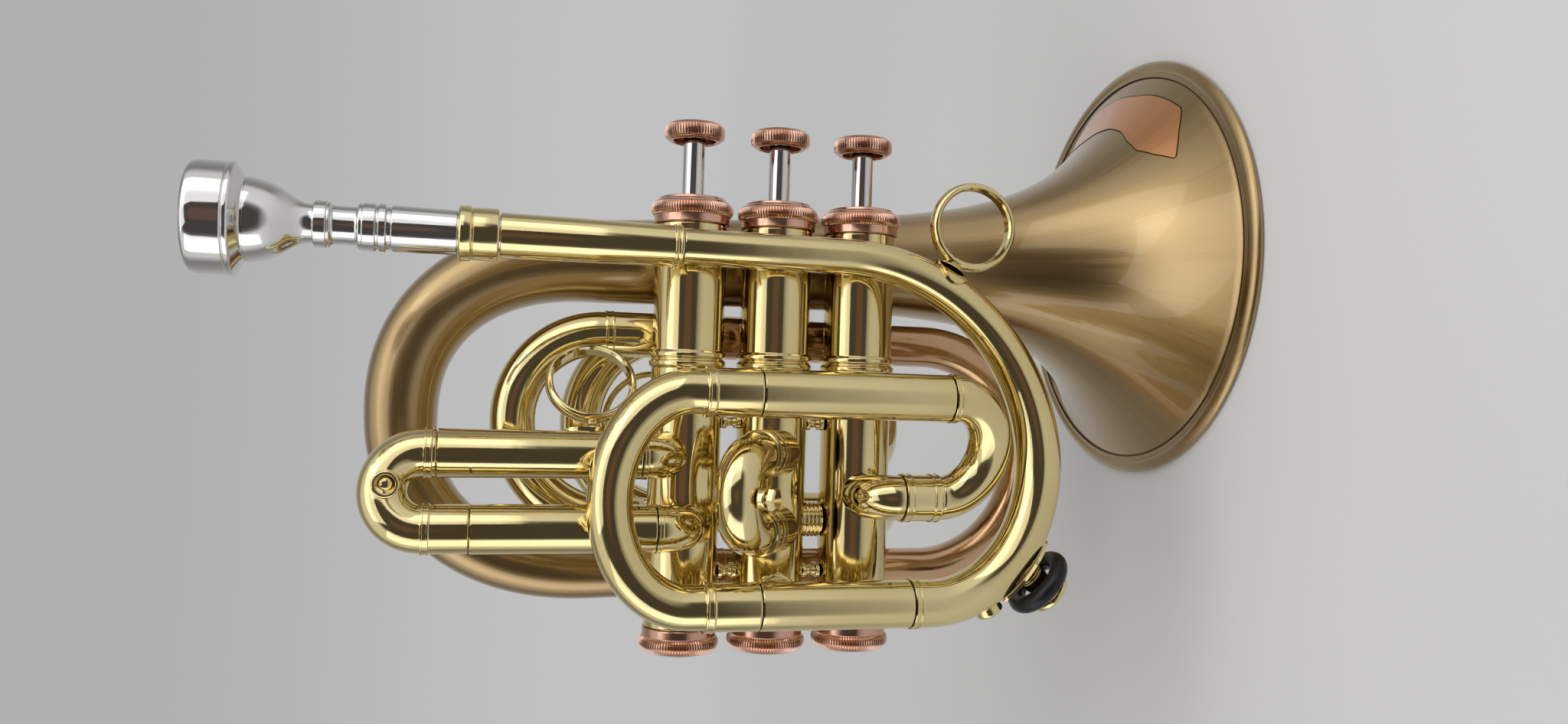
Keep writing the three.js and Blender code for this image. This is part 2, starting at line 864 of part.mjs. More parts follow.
function tailCrook() {
  const sleeveStart = vec(tailTop, tailSide, tailTopEnd + seatGap);
  const high = vec(tailTop, tailSide, tailTopEnd + tailSleeveLength);
  const low = vec(tailCrookBottom, tailSide, tailTopEnd + tailSleeveLength - tailCrookDrop);
  const reach = (tailTop - tailCrookBottom) / 2;
  const corner = vec(tailCrookBottom, tailSide, tailPortHeight);
  const port = vec(tailCrookBottom, tailSide - elbowRadius, tailPortHeight);
  const turn = vec(tailCrookBottom, tailSide, tailPortHeight + elbowRadius);
  const route = new Route(
    straight(sleeveStart, high),
    halfTurn(high, low, vec(0, 0, reach)),
    straight(low, turn.clone().addScaledVector(alongZ, seatGap)),
  );
  const sleeve = [
    { from: 0, to: tailSleeveLength - tailFerrule, radius: tailCrookRadius + sleeveRise },
    {
      from: tailSleeveLength - tailFerrule,
      to: tailSleeveLength - seatGap,
      radius: tailCrookRadius + 2 * sleeveRise,
    },
  ];
  const tube = bentTube(route, alongY, () => tailCrookRadius, tubeWall, sleeve);
  const inward = vec(tailCrookBottom, 0, tailPortHeight);
  const elbowRoute = new Route(quarterTurn(turn, corner, port), straight(port, inward));
  const elbow = bentTube(elbowRoute, alongX, () => tailCrookRadius, tubeWall);
  return { tube, elbow: cut(elbow, casingSpace(0)) };
}

function makeBell() {
  place('bell', brushed, bell());
  place('bell_tail', roseBrass, bentTube(tailRoute(), alongY, () => tailRadius));
  const crook = tailCrook();
  place('tail_crook', lacquer, crook.tube);
  place('tail_port', lacquer, crook.elbow);
}

// Mouthpiece and leadpipe

function mouthpiece() {
  const face = mouthpieceTop;
  const rimLow = face - rimCrown;
  const lipLow = rimLow - rimCylinder;
  const bowlHigh = lipLow - rimSlope;
  const bowlLow = bowlHigh - bowlLength;
  const cupFloor = face - cupDepth;
  const firstCollar = bowlLow - brokenEdge;
  const waistTop = firstCollar - collarWidth;
  const secondCollar = waistTop - waistLength;
  const shankTop = secondCollar - lowCollarWidth;
  const seat = receiverTop + seatGap;
  const end = receiverTop - shankInsert;
  const outside = [
    [face - brokenEdge * 2, cupRadius + brokenEdge],
    [face, cupRadius + rimCrest],
    [face - brokenEdge * 2, rimOuter - brokenEdge * 2],
    [rimLow, rimOuter],
    [lipLow, rimOuter],
    ...bowlOutside(bowlHigh, bowlLow),
  ];
  const stem = [
    [firstCollar, collarRadius],
    [waistTop, collarRadius],
    [waistTop - brokenEdge, waistRadius],
    [secondCollar + brokenEdge, waistRadius],
    [secondCollar, lowCollarRadius],
    [shankTop, lowCollarRadius],
    [shankTop - brokenEdge, shankRadius],
    [seat, shankRadius],
    [seat, shankSeat],
    [end, shankSeat - shankTaper * shankInsert],
  ];
  const bore = [
    [end, backboreRadius],
    [cupFloor - cupDepth, throatBore],
    [cupFloor, throatBore],
    ...cupInside(cupFloor),
    outside[0],
  ];
  return turnedAlongZ([...outside, ...stem, ...bore], ringSides, leadHeight, leadSide);
}

// The bowl under the rim stays full at first, then draws in to the neck in a reversed curve.
function bowlOutside(high, low) {
  return Array.from({ length: bowlSteps + 1 }, (_, i) => {
    const share = i / bowlSteps;
    const swell = (1 + Math.cos(Math.PI * share ** bowlFullness)) / 2;
    const radius = THREE.MathUtils.lerp(bowlNeck, bowlRadius, swell);
    return [THREE.MathUtils.lerp(high, low, share), radius];
  });
}

// A round cup, from its floor up to the rim.
function cupInside(floor) {
  return Array.from({ length: cupSteps }, (_, i) => {
    const share = (i + 1) / (cupSteps + 1);
    const radius = THREE.MathUtils.lerp(throatBore, cupRadius, Math.sqrt(1 - (1 - share) ** 2));
    return [floor + share * cupDepth, radius];
  });
}

// Bore that the shank sits in, at a height inside the receiver and leadpipe.
function shankBoreAt(height) {
  const depth = receiverTop - height;
  return shankSeat - shankTaper * depth + seatGap;
}

function receiver() {
  const low = receiverTop - receiverLength;
  const flange = receiverTop - receiverFlange;
  const profile = [
    [low + seatGap, receiverRadius],
    [flange, receiverRadius],
    [flange, receiverFlangeRadius],
    [receiverTop, receiverFlangeRadius],
    [receiverTop, shankBoreAt(receiverTop)],
    [low + seatGap, shankBoreAt(low)],
    [low + seatGap, receiverRadius],
  ];
  return turnedAlongZ(profile, ringSides, leadHeight, leadSide);
}

function leadpipe() {
  const top = receiverTop - receiverLength;
  const socketEnd = receiverTop - shankInsert - socketSpace;
  const ferruleTop = leadEnd + leadFerrule;
  const bore = bowTubeStart - tubeWall;
  const profile = [
    [leadEnd, bore],
    [leadEnd, leadFerruleRadius],
    [ferruleTop, leadFerruleRadius],
    [ferruleTop, leadOuterEnd],
    [top, leadOuterStart],
    [top, shankBoreAt(top)],
    [socketEnd, shankBoreAt(socketEnd)],
    [socketEnd, bore],
    [leadEnd, bore],
  ];
  return turnedAlongZ(profile, ringSides, leadHeight, leadSide);
}

// The loop from the leadpipe down to the lower tuning tube: two quarters of an ellipse.
function leadBowRoute() {
  const turnSide = leadBowTurnSide();
  const start = vec(leadHeight, leadSide, leadEnd - seatGap);
  const high = vec(leadHeight, leadSide, leadBowTop);
  const lowEnd = loopLow + leadBowTurnReach;
  const low = vec(tuningBottom, tuningSide, lowEnd);
  const end = vec(tuningBottom, tuningSide, lowerTubeEnd - seatGap);
  const across = vec(leadHeight - leadBowTurn, leadSide - turnSide, 0);
  const fall = vec(0, 0, -leadBowReach);
  const upper = new Arc(vec(leadBowTurn, turnSide, leadBowTop), across, fall, Math.PI / 2);
  const back = vec(tuningBottom - leadBowTurn, tuningSide - turnSide, 0);
  const turn = vec(0, 0, -leadBowTurnReach);
  const lower = new Arc(vec(leadBowTurn, turnSide, lowEnd), turn, back, Math.PI / 2);
  return new Route(straight(start, high), upper, lower, straight(low, end));
}

// Where the loop turns back, so that its two quarters meet without a kink.
function leadBowTurnSide() {
  const upper = leadHeight - leadBowTurn;
  const lower = leadBowTurn - tuningBottom;
  return (leadSide * lower + tuningSide * upper) / (upper + lower);
}

// The loop's tube widens along its first quarter.
function leadBowRadiusAt(route, distance) {
  const share = THREE.MathUtils.clamp((distance - route.lengths[0]) / route.lengths[1], 0, 1);
  return THREE.MathUtils.lerp(bowTubeStart, bowTubeEnd, share);
}

function leadBow() {
  const route = leadBowRoute();
  const radiusAt = (distance) => leadBowRadiusAt(route, distance);
  const end = route.length;
  const ferrule = { from: end - tuningFerrule, to: end, radius: tuningOuter + ferruleRise };
  return bentTube(route, alongY, radiusAt, tubeWall, [ferrule]);
}

function makeLeadpipe() {
  place('mouthpiece', silver, mouthpiece());
  place('mouthpiece_receiver', lacquer, receiver());
  place('leadpipe', lacquer, leadpipe());
  place('leadpipe_bow', lacquer, leadBow());
}

// Main tuning slide

function slideBore(outer) {
  return outer - tubeWall;
}

function legRadius(outer) {
  return slideBore(outer) - slideGap;
}

// A slide is one bent tube: leg, sleeve, ferrule, bow, then the same back.
function slideTube(from, to, reach, side, size) {
  const route = new Route(
    straight(from.legEnd, from.bowStart),
    halfTurn(from.bowStart, to.bowStart, reach),
    straight(to.bowStart, to.legEnd),
  );
  const legRun = from.legEnd.distanceTo(from.seam);
  const sleeveRun = legRun + size.sleeve;
  const farLeg = to.legEnd.distanceTo(to.seam);
  const end = route.length;
  const ferrule = size.outer + ferruleRise;
  const rings = [
    { from: legRun, to: sleeveRun, radius: size.outer - slideStep },
    { from: sleeveRun, to: sleeveRun + size.ferrule, radius: ferrule },
    { from: end - farLeg - size.sleeve - size.ferrule, to: end - farLeg - size.sleeve, radius: ferrule },
    { from: end - farLeg - size.sleeve, to: end - farLeg, radius: size.outer - slideStep },
  ];
  const leg = legRadius(size.outer);
  const radiusAt = (distance) => (distance < legRun || distance > end - farLeg ? leg : size.bow);
  const wall = size.bow - leg + tubeWall;
  return bentTube(route, side, radiusAt, wall, rings);
}

function tuningSlide() {
  const arm = (height) => ({
    legEnd: vec(height, tuningSide, tuningSeam + seatGap - tuningLeg),
    seam: vec(height, tuningSide, tuningSeam + seatGap),
    bowStart: vec(height, tuningSide, tuningBowStart),
  });
  const size = { outer: tuningOuter, sleeve: tuningSleeve, ferrule: tuningFerrule, bow: tuningBowTube };
  return slideTube(arm(tuningTop), arm(tuningBottom), vec(0, 0, tuningBowReach), alongY, size);
}

function tuningTube(height, end) {
  const from = vec(height, tuningSide, end);
  const to = vec(height, tuningSide, tuningSeam);
  return straightTube(from, to, tuningOuter, slideBore(tuningOuter));
}

function makeTuningSlide() {
  place('tuning_tube_upper', lacquer, tuningTube(tuningTop, upperTubeEnd));
  place('tuning_tube_lower', lacquer, tuningTube(tuningBottom, lowerTubeEnd));
  place('tuning_slide', lacquer, tuningSlide());
}

// Entry to the third valve

function makeEntry() {
  const high = vec(tuningTop, tuningSide, upperTubeEnd - seatGap);
  const bendStart = high.clone().add(vec(0, 0, -tuningFerrule));
  const low = vec(entryHeight, entrySide, entryCrookEnd);
  const reach = vec(0, 0, -entryCrookReach);
  const crookRoute = new Route(straight(high, bendStart), halfTurn(bendStart, low, reach));
  const ferrule = { from: 0, to: tuningFerrule - seatGap, radius: tuningOuter + ferruleRise };
  place('entry_crook', lacquer, bentTube(crookRoute, alongY, () => entryTube, tubeWall, [ferrule]));

  const sleeveStart = vec(entryHeight, entrySide, entryCrookEnd + seatGap);
  const sleeveEnd = vec(entryHeight, entrySide, entrySleeveEnd);
  const run = entrySleeveEnd - entryCrookEnd - seatGap;
  const sleeve = elbowTube + entrySleeveRise;
  const bands = [
    { from: 0, to: entryFerrule, radius: sleeve + ferruleRise },
    { from: run - entryFerrule, to: run, radius: sleeve + ferruleRise },
  ];
  place('entry_sleeve', lacquer, straightTube(sleeveStart, sleeveEnd, sleeve, elbowTube - tubeWall, bands));

  const axis = valveAxis(2);
  const elbowStart = vec(entryHeight, entrySide, entrySleeveEnd + seatGap);
  const corner = vec(entryHeight, entrySide, axis);
  const turnEnd = vec(entryHeight, entrySide + elbowRadius, axis);
  const turn = quarterTurn(elbowStart, corner, turnEnd);
  const elbowRoute = new Route(turn, straight(turnEnd, vec(entryHeight, 0, axis)));
  const elbow = bentTube(elbowRoute, alongX, () => elbowTube);
  place('entry_elbow', lacquer, cut(elbow, casingSpace(2)));
}

// First valve slide

function firstElbow(height, side, port) {
  const start = vec(height, side, port + elbowRadius + firstElbowRun);
  const turn = vec(height, side, port + elbowRadius);
  const corner = vec(height, side, port);
  const end = vec(height, side + elbowRadius, port);
  const inward = vec(height, Math.max(side + elbowRadius + elbowStub, -elbowRoot), port);
  const route = new Route(straight(start, turn), quarterTurn(turn, corner, end), straight(end, inward));
  const ferrule = { from: 0, to: firstElbowFerrule, radius: elbowTube + ferruleRise };
  return cut(bentTube(route, alongX, () => elbowTube, tubeWall, [ferrule]), casingSpace(0));
}

function firstTube(height, side, port) {
  const from = vec(height, side, port + elbowRadius + firstElbowRun + seatGap);
  return straightTube(from, vec(height, side, firstSeam), firstOuter, slideBore(firstOuter));
}

function firstSlide() {
  const arm = (height, side) => ({
    legEnd: vec(height, side, firstLegEnd),
    seam: vec(height, side, firstSeam + seatGap),
    bowStart: vec(height, side, firstSeam + seatGap + firstSleeve + firstFerrule),
  });
  const size = { outer: firstOuter, sleeve: firstSleeve, ferrule: firstFerrule, bow: firstBowTube };
  const high = arm(firstTop, firstTopSide);
  const low = arm(firstBottom, firstBottomSide);
  const side = vec(firstBottomSide - firstTopSide, firstTop - firstBottom, 0).normalize();
  const slide = slideTube(high, low, vec(0, 0, firstBowReach), side, size);
  const apex = keyPlace();
  const front = apex.y - firstBowTube - keyRise;
  const at = (y) => vec(apex.x, y, apex.z);
  const barrel = rod(at(front), at(apex.y + keyRoot), keyBarrel, tubeSides);
  const bore = rod(at(front - cutReach), at(front + keyDepth), keyBore, tubeSides);
  return cut(join(slide, barrel), bore);
}

function keyPlace() {
  const height = (firstTop + firstBottom) / 2;
  const side = (firstTopSide + firstBottomSide) / 2;
  return vec(height, side, firstSeam + seatGap + firstSleeve + firstFerrule + firstBowReach);
}

function keyButton() {
  const apex = keyPlace();
  const floor = apex.y - firstBowTube - keyRise + keyDepth;
  const back = floor - keyTravel - seatGap;
  const at = (y) => vec(apex.x, y, apex.z);
  return rod(at(back - keyButtonLength), at(back), keyBore - seatGap, tubeSides);
}

function makeFirstSlide() {
  place('first_elbow_upper', lacquer, firstElbow(firstTop, firstTopSide, firstTopPort));
  place('first_elbow_lower', lacquer, firstElbow(firstBottom, firstBottomSide, firstBottomPort));
  place('first_tube_upper', lacquer, firstTube(firstTop, firstTopSide, firstTopPort));
  place('first_tube_lower', lacquer, firstTube(firstBottom, firstBottomSide, firstBottomPort));
  place('first_slide', lacquer, firstSlide());
  place('water_key_button', lacquer, keyButton());
}

// Second valve slide, pointing to the player's fingers

function secondHeading() {
  return vec(0, -Math.cos(secondAngle), Math.sin(secondAngle));
}

function secondPoint(height, distance) {
  return vec(height, -casingRadius + secondInset, 0).addScaledVector(secondHeading(), distance);
}

function secondPort(height) {
  const root = secondPoint(height, -secondPortRoot);
  const end = secondPoint(height, secondPortLength);
  const port = straightTube(root, end, secondOuter, slideBore(secondOuter));
  return cut(port, casingSpace(1));
}

function secondSlide() {
  const seam = secondPortLength + seatGap;
  const arm = (height) => ({
    legEnd: secondPoint(height, seam - secondLeg),
    seam: secondPoint(height, seam),
    bowStart: secondPoint(height, seam + secondBowStraight),
  });
  const size = { outer: secondOuter, sleeve: secondSleeve, ferrule: secondFerrule, bow: secondBowTube };
  const reach = secondHeading().multiplyScalar((secondTop - secondBottom) / 2);
  const side = secondHeading().cross(alongX);
  return slideTube(arm(secondTop), arm(secondBottom), reach, side, size);
}

function knobHeading() {
  return vec(0, -Math.sin(secondAngle), -Math.cos(secondAngle));
}

function secondKnob() {
  const half = (secondTop - secondBottom) / 2;
  const reach = secondPortLength + seatGap + secondBowStraight + half;
  const apex = secondPoint((secondTop + secondBottom) / 2, reach);
  const base = secondBowTube + seatGap;
  const out = knobHeading();
  const at = (distance) => apex.clone().addScaledVector(out, distance);
  const neck = rod(at(base), at(base + knobLength), knobNeck, tubeSides);
  const collarBase = base + knobCollarBase;
  const collar = rod(at(collarBase), at(collarBase + knobCollarWidth), knobCollar, tubeSides);
  const head = rod(at(base + knobLength - knobHeadWidth), at(base + knobLength), knobHead, knobSides);
  return join(neck, collar, head);
}

function makeSecondSlide() {
  place('second_port_upper', lacquer, secondPort(secondTop));
  place('second_port_lower', lacquer, secondPort(secondBottom));
  place('second_slide', lacquer, secondSlide());
  place('second_slide_knob', lacquer, secondKnob());
}

// Third valve slide

// From the valve's side outward, then round to the outer tube.
function thirdElbow(port, height) {
  const axis = valveAxis(2);
  const from = vec(port, casingRadius / 2, axis - thirdLean);
  const outward = vec(port, thirdSide, axis - thirdBulge);
  const before = vec(height, thirdSide, axis - thirdBulge);
  const to = vec(height, thirdSide, thirdTubeStart - seatGap);
  const curve = new THREE.CubicBezierCurve3(from, outward, before, to);
  curve.steps = elbowSteps;
  const out = outward.clone().sub(from);
  const over = before.clone().sub(outward);
  const back = to.clone().sub(before);
  const first = out.cross(over).normalize();
  const last = over.clone().cross(back).normalize();
  const square = port === height ? alongX : first.add(last).normalize();
  return cut(bentTube(new Route(curve), square, () => thirdOuter), casingSpace(2));
}

function makeThirdSlide() {
  place('third_elbow_upper', lacquer, thirdElbow(thirdPort, thirdTop));
  place('third_elbow_lower', lacquer, thirdElbow(thirdBottom, thirdBottom));
  const tube = (height) => straightTube(
    vec(height, thirdSide, thirdTubeStart),
    vec(height, thirdSide, thirdSeam),
    thirdOuter,
    slideBore(thirdOuter),
  );
  place('third_tube_upper', lacquer, tube(thirdTop));
  place('third_tube_lower', lacquer, tube(thirdBottom));
  const seam = thirdSeam + seatGap;
  const arm = (height) => ({
    legEnd: vec(height, thirdSide, seam - thirdLeg),
    seam: vec(height, thirdSide, seam),
    bowStart: vec(height, thirdSide, seam + thirdSleeve + thirdFerrule),
  });
  const half = (thirdTop - thirdBottom) / 2;
  const size = { outer: thirdOuter, sleeve: thirdSleeve, ferrule: thirdFerrule, bow: thirdBowTube };
  place('third_slide', lacquer, slideTube(arm(thirdTop), arm(thirdBottom), vec(0, 0, half), alongY, size));
  const inner = half - thirdBowTube;
  const centre = seam + thirdSleeve + thirdFerrule + inner - seatGap - pullRing - 2 * pullRingWire;
  const ring = new THREE.TorusGeometry(pullRing + pullRingWire, pullRingWire, wireSides, ringSides);
  ring.rotateX(Math.PI / 2).translate((thirdTop + thirdBottom) / 2, thirdSide, centre);
  place('third_slide_ring', lacquer, ring);
}

// Finger rings, thumb spool and braces

// The ring stands on its tube and leans back from the player's side, about the tube's axis.
function fingerRingSolid() {
  const outer = fingerRing + fingerRingWall;
  const centre = vec(firstOuter + fingerRingStand + outer, 0, fingerRingHeight);
  const ring = bandRing(fingerRing, outer, fingerRingWidth, brokenEdge, centre);
  const post = new THREE.BoxGeometry(fingerRingStand + fingerRingWall, fingerRingWidth, fingerPostLength);
  post.translate(firstOuter + (fingerRingStand + fingerRingWall) / 2, 0, fingerRingHeight);
  const foot = new THREE.BoxGeometry(fingerFootDepth, fingerFootWidth, fingerFootLength);
  foot.translate(firstOuter + brokenEdge, 0, fingerRingHeight);
  const whole = cut(join(ring, post, foot), ringHole(centre, fingerRing));
  whole.rotateZ(fingerRingLean).translate(firstTop, firstTopSide, 0);
  return cut(whole, upright(firstTop, firstTopSide, fingerRingHeight, firstOuter + seatGap));
}

function ringHole(centre, radius) {
  const reach = vec(0, cutReach, 0);
  return rod(centre.clone().sub(reach), centre.clone().add(reach), radius, ringSides);
}

// A stretch of an upright tube with its clearance, to cut a foot or a plate that sits on it.
function upright(x, y, z, radius) {
  return rod(vec(x, y, z - cutReach), vec(x, y, z + cutReach), radius, tubeSides * 2);
}

// The place on the upper quarter of the leadpipe's loop at an angle into it.
function upperBowPlace(angle) {
  const turnSide = leadBowTurnSide();
  return vec(
    leadBowTurn + (leadHeight - leadBowTurn) * Math.cos(angle),
    turnSide + (leadSide - turnSide) * Math.cos(angle),
    leadBowTop - leadBowReach * Math.sin(angle),
  );
}

// Straight out of the loop's upper quarter at an angle into it.
function upperBowOut(angle) {
  const wide = leadHeight - leadBowTurn;
  return vec(Math.cos(angle) * leadBowReach, 0, -Math.sin(angle) * wide).normalize();
}

function pinkyRingSolid() {
  const outer = pinkyRing + pinkyRingWall;
  const seat = upperBowPlace(pinkyRingTurn);
  const out = upperBowOut(pinkyRingTurn);
  const skin = THREE.MathUtils.lerp(bowTubeStart, bowTubeEnd, pinkyRingTurn / (Math.PI / 2)) + seatGap;
  const at = (distance) => seat.clone().addScaledVector(out, distance);
  const centre = at(skin + pinkyRingStand + outer);
  const ring = bandRing(pinkyRing, outer, pinkyRingWidth, brokenEdge, centre);
  const foot = rod(seat, at(skin + pinkyRingStand + pinkyRingWall), pinkyFoot, tubeSides);
  const saddle = rod(seat, at(skin + pinkySaddleRise), pinkySaddle, ringSides);
  return cut(join(ring, foot, saddle), leadBowSpace(), ringHole(centre, pinkyRing));
}

// The space of the leadpipe bow and its seat gap.
function leadBowSpace() {
  const route = leadBowRoute();
  const skin = route.sections().map((mark) => [mark, leadBowRadiusAt(route, mark) + seatGap]);
  const profile = [[0, 0], ...skin, [route.length, 0]];
  return bent(turned(profile, tubeSides), route, alongY);
}

function spoolFrame() {
  const turnSide = leadBowTurnSide();
  const lowEnd = loopLow + leadBowTurnReach;
  const wide = leadBowTurn - tuningBottom;
  const centre = vec(
    leadBowTurn - wide * Math.sin(spoolTurn),
    turnSide + (tuningSide - turnSide) * Math.sin(spoolTurn),
    lowEnd - leadBowTurnReach * Math.cos(spoolTurn),
  );
  const out = vec(-Math.sin(spoolTurn) * leadBowTurnReach, 0, -Math.cos(spoolTurn) * wide).normalize();
  return { centre, out };
}

function spool() {
  const { centre, out } = spoolFrame();
  const at = (distance) => centre.clone().addScaledVector(out, distance);
  const skin = bowTubeEnd + seatGap;
  const along = out.clone().cross(alongY).normalize();
  const plate = new THREE.BoxGeometry(saddleWidth, saddleThickness + saddleSkirt, saddleLength);
  const frame = new THREE.Matrix4().makeBasis(alongY, out, along.clone().negate());
  const seat = at(skin + (saddleThickness - saddleSkirt) / 2);
  plate.applyMatrix4(frame.setPosition(seat));
  const neck = rod(at(skin), at(skin + spoolLength), spoolNeck, ringSides);
  const disc = rod(at(skin + spoolLength - spoolDiscHeight), at(skin + spoolLength), spoolDisc, ringSides);
  const studAside = softRing + softRingTube + studRadius + 2 * seatGap;
  const studFoot = at(skin + studBase).addScaledVector(along, -studAside);
  const stud = rod(studFoot, studFoot.clone().addScaledVector(out, studLength), studRadius, tubeSides);
  return cut(join(plate, neck, disc, stud), leadBowSpace());
}

function softRingSolid() {
  const { centre, out } = spoolFrame();
  const ring = new THREE.TorusGeometry(softRing, softRingTube, softRingSides, ringSides);
  ring.applyQuaternion(new THREE.Quaternion().setFromUnitVectors(alongZ, out));
  const middle = (saddleThickness + spoolLength - spoolDiscHeight) / 2;
  const seat = centre.clone().addScaledVector(out, bowTubeEnd + seatGap + middle);
  return ring.translate(seat.x, seat.y, seat.z);
}

function firstBrace() {
  const high = vec(firstTop - braceInset, firstTopSide - firstOuter, braceHeight);
  const low = vec(firstBottom + braceLowInset, firstBottomSide - firstOuter, braceHeight);
  const bar = rod(high, low, braceRod, tubeSides);
  const feet = [high, low].map((end) => {
    const foot = new THREE.CylinderGeometry(braceFoot, braceFoot, braceFootThickness, ringSides);
    foot.scale(1, 1, braceFootStretch);
    return foot.translate(end.x, end.y, end.z);
  });
  const upper = upright(firstTop, firstTopSide, braceHeight, firstOuter + seatGap);
  const lower = upright(firstBottom, firstBottomSide, braceHeight, firstOuter + seatGap);
  return cut(join(bar, ...feet), upper, lower);
}

function bottomBrace() {
  const from = vec(tuningBottom, tuningSide, 0);
  const to = vec(tuningBottom, 0, 0);
  const bar = rod(from, to, bottomBraceRod, tubeSides);
  const footStart = vec(tuningBottom, -casingRadius - bottomBraceFootThickness, 0);
  const foot = rod(footStart, to, bottomBraceFoot, ringSides);
  const tube = upright(tuningBottom, tuningSide, 0, tuningOuter + seatGap);
  return cut(join(bar, foot), tube, casingSpace(1));
}

function makeFittings() {
  place('finger_ring', lacquer, fingerRingSolid());
  place('pinky_ring', lacquer, pinkyRingSolid());
  place('thumb_spool', lacquer, spool());
  place('thumb_spool_ring', rubber, softRingSolid());
  place('first_slide_brace', lacquer, firstBrace());
  place('lower_tube_brace', lacquer, bottomBrace());
}

makeCasings();
makeValves();
makeBell();
makeLeadpipe();
makeTuningSlide();
makeEntry();
makeFirstSlide();
makeSecondSlide();
makeThirdSlide();
makeFittings();

// The origin is the middle of the footprint, on the table that the bell stands on.
const box = new THREE.Box3().setFromObject(body);
const middle = box.getCenter(new THREE.Vector3());
body.position.set(-middle.x, -middle.y, -box.min.z);
trumpet.updateMatrixWorld(true);

export default trumpet;
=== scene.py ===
"""Looks of the pocket trumpet: smooth detailed pieces in place of the faceted solids, and their materials."""
import math

import bmesh
import bpy
import numpy as np
from mathutils import Matrix, Vector

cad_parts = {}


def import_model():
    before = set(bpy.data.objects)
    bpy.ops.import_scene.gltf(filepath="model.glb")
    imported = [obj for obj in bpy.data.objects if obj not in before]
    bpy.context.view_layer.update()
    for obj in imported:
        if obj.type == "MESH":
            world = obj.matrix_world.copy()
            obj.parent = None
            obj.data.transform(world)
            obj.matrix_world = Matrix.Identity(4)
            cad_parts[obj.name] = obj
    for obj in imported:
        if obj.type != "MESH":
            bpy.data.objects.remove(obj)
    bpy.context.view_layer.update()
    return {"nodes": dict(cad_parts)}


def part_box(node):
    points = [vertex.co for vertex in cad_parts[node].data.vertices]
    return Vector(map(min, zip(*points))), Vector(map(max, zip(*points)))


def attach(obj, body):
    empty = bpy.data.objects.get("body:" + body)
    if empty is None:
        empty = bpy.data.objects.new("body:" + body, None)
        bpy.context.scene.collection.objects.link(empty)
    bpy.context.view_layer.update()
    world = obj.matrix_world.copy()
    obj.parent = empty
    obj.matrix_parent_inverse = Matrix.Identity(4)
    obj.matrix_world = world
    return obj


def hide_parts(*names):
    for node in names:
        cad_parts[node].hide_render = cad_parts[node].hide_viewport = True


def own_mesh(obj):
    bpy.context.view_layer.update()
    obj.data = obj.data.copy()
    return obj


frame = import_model()

MM = 0.001
WELD = 2e-7
POLE = 1e-6
SAME_PLACE = 1e-9
CREASE = 32

# Corners of a profile: the least turn in degrees that is rounded, the share of a face that the rounding
# takes at most, and from which length in cuts a face gets a point beside it, and where.
HARD_TURN = 22
CUT_SHARE = 0.36
LONG_FACE = 6
FLAT_FROM = 2.2

X, Y, Z = np.eye(3)

# Sizes are in millimetres from the middle valve's axis, and most are those of part.mjs.
SEAT_GAP = 0.3
SLIDE_GAP = 0.4
TUBE_WALL = 0.5
FERRULE_RISE = 0.3
FERRULE_BEAD = 0.5
FERRULE_GROOVE = 0.16
SLEEVE_STEP = 0.1
TUBE_SIDES = 56
TUBE_SEGMENTS = 44
PITCH = 24.3
CASING_R = 9.75
CASING_BORE = 8.4
CASING_LOW = -65.6
CASING_HIGH = 42.7
NECK_R = 9.0
NECK_HIGH = 3.6
NECK_LOW = 4.3
RIM_Z = -127.0
RIM_R = 66.5
BELL_Y = 25.5
TAIL_Y = 17.8


def frame_origin():
    """The middle valve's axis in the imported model's frame."""
    low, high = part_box("valve_casing_2")
    low_button, high_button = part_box("finger_button_2")
    foot = low[0] - (CASING_LOW - NECK_LOW) * MM
    return Vector((foot, (low[1] + high[1]) / 2, (low_button[2] + high_button[2]) / 2))


ORIGIN = frame_origin()


def vec(x, y, z):
    return np.array([x, y, z], dtype=float)


def unit(direction):
    return direction / np.linalg.norm(direction)


def upright(height, side, *levels):
    """Points at several levels of one tube along Z."""
    return [vec(height, side, level) for level in levels]


def valve_z(valve):
    return (1 - valve) * PITCH


# Mesh building


class Shape:
    """Corners, faces and a distance-and-angle map of one piece, in millimetres."""

    def __init__(self):
        self.verts = []
        self.faces = []
        self.maps = []

    def add(self, verts, faces, maps=None):
        base = len(self.verts)
        self.verts.extend(verts)
        self.faces.extend([tuple(i + base for i in face) for face in faces])
        self.maps.extend(maps if maps is not None else [(0.0, 0.0)] * len(verts))
        return self

    def join(self, other):
        return self.add(other.verts, other.faces, other.maps)


def packed(point):
    """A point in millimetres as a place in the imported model's frame."""
    return Vector(point) * MM + ORIGIN


def add_object(name, data):
    thing = bpy.data.objects.new(name, data)
    bpy.context.scene.collection.objects.link(thing)
    return thing


def mesh_of(name, shape):
    mesh = bpy.data.meshes.new(name)
    mesh.from_pydata([tuple(packed(v)) for v in shape.verts], [], shape.faces)
    return mesh


def face_outward(mesh, weld=0.0):
    work = bmesh.new()
    work.from_mesh(mesh)
    if weld:
        bmesh.ops.remove_doubles(work, verts=work.verts, dist=weld)
    bmesh.ops.recalc_face_normals(work, faces=work.faces)
    work.to_mesh(mesh)
    work.free()


def smooth(mesh, crease):
    mesh.shade_smooth()
    mesh.set_sharp_from_angle(angle=math.radians(crease))


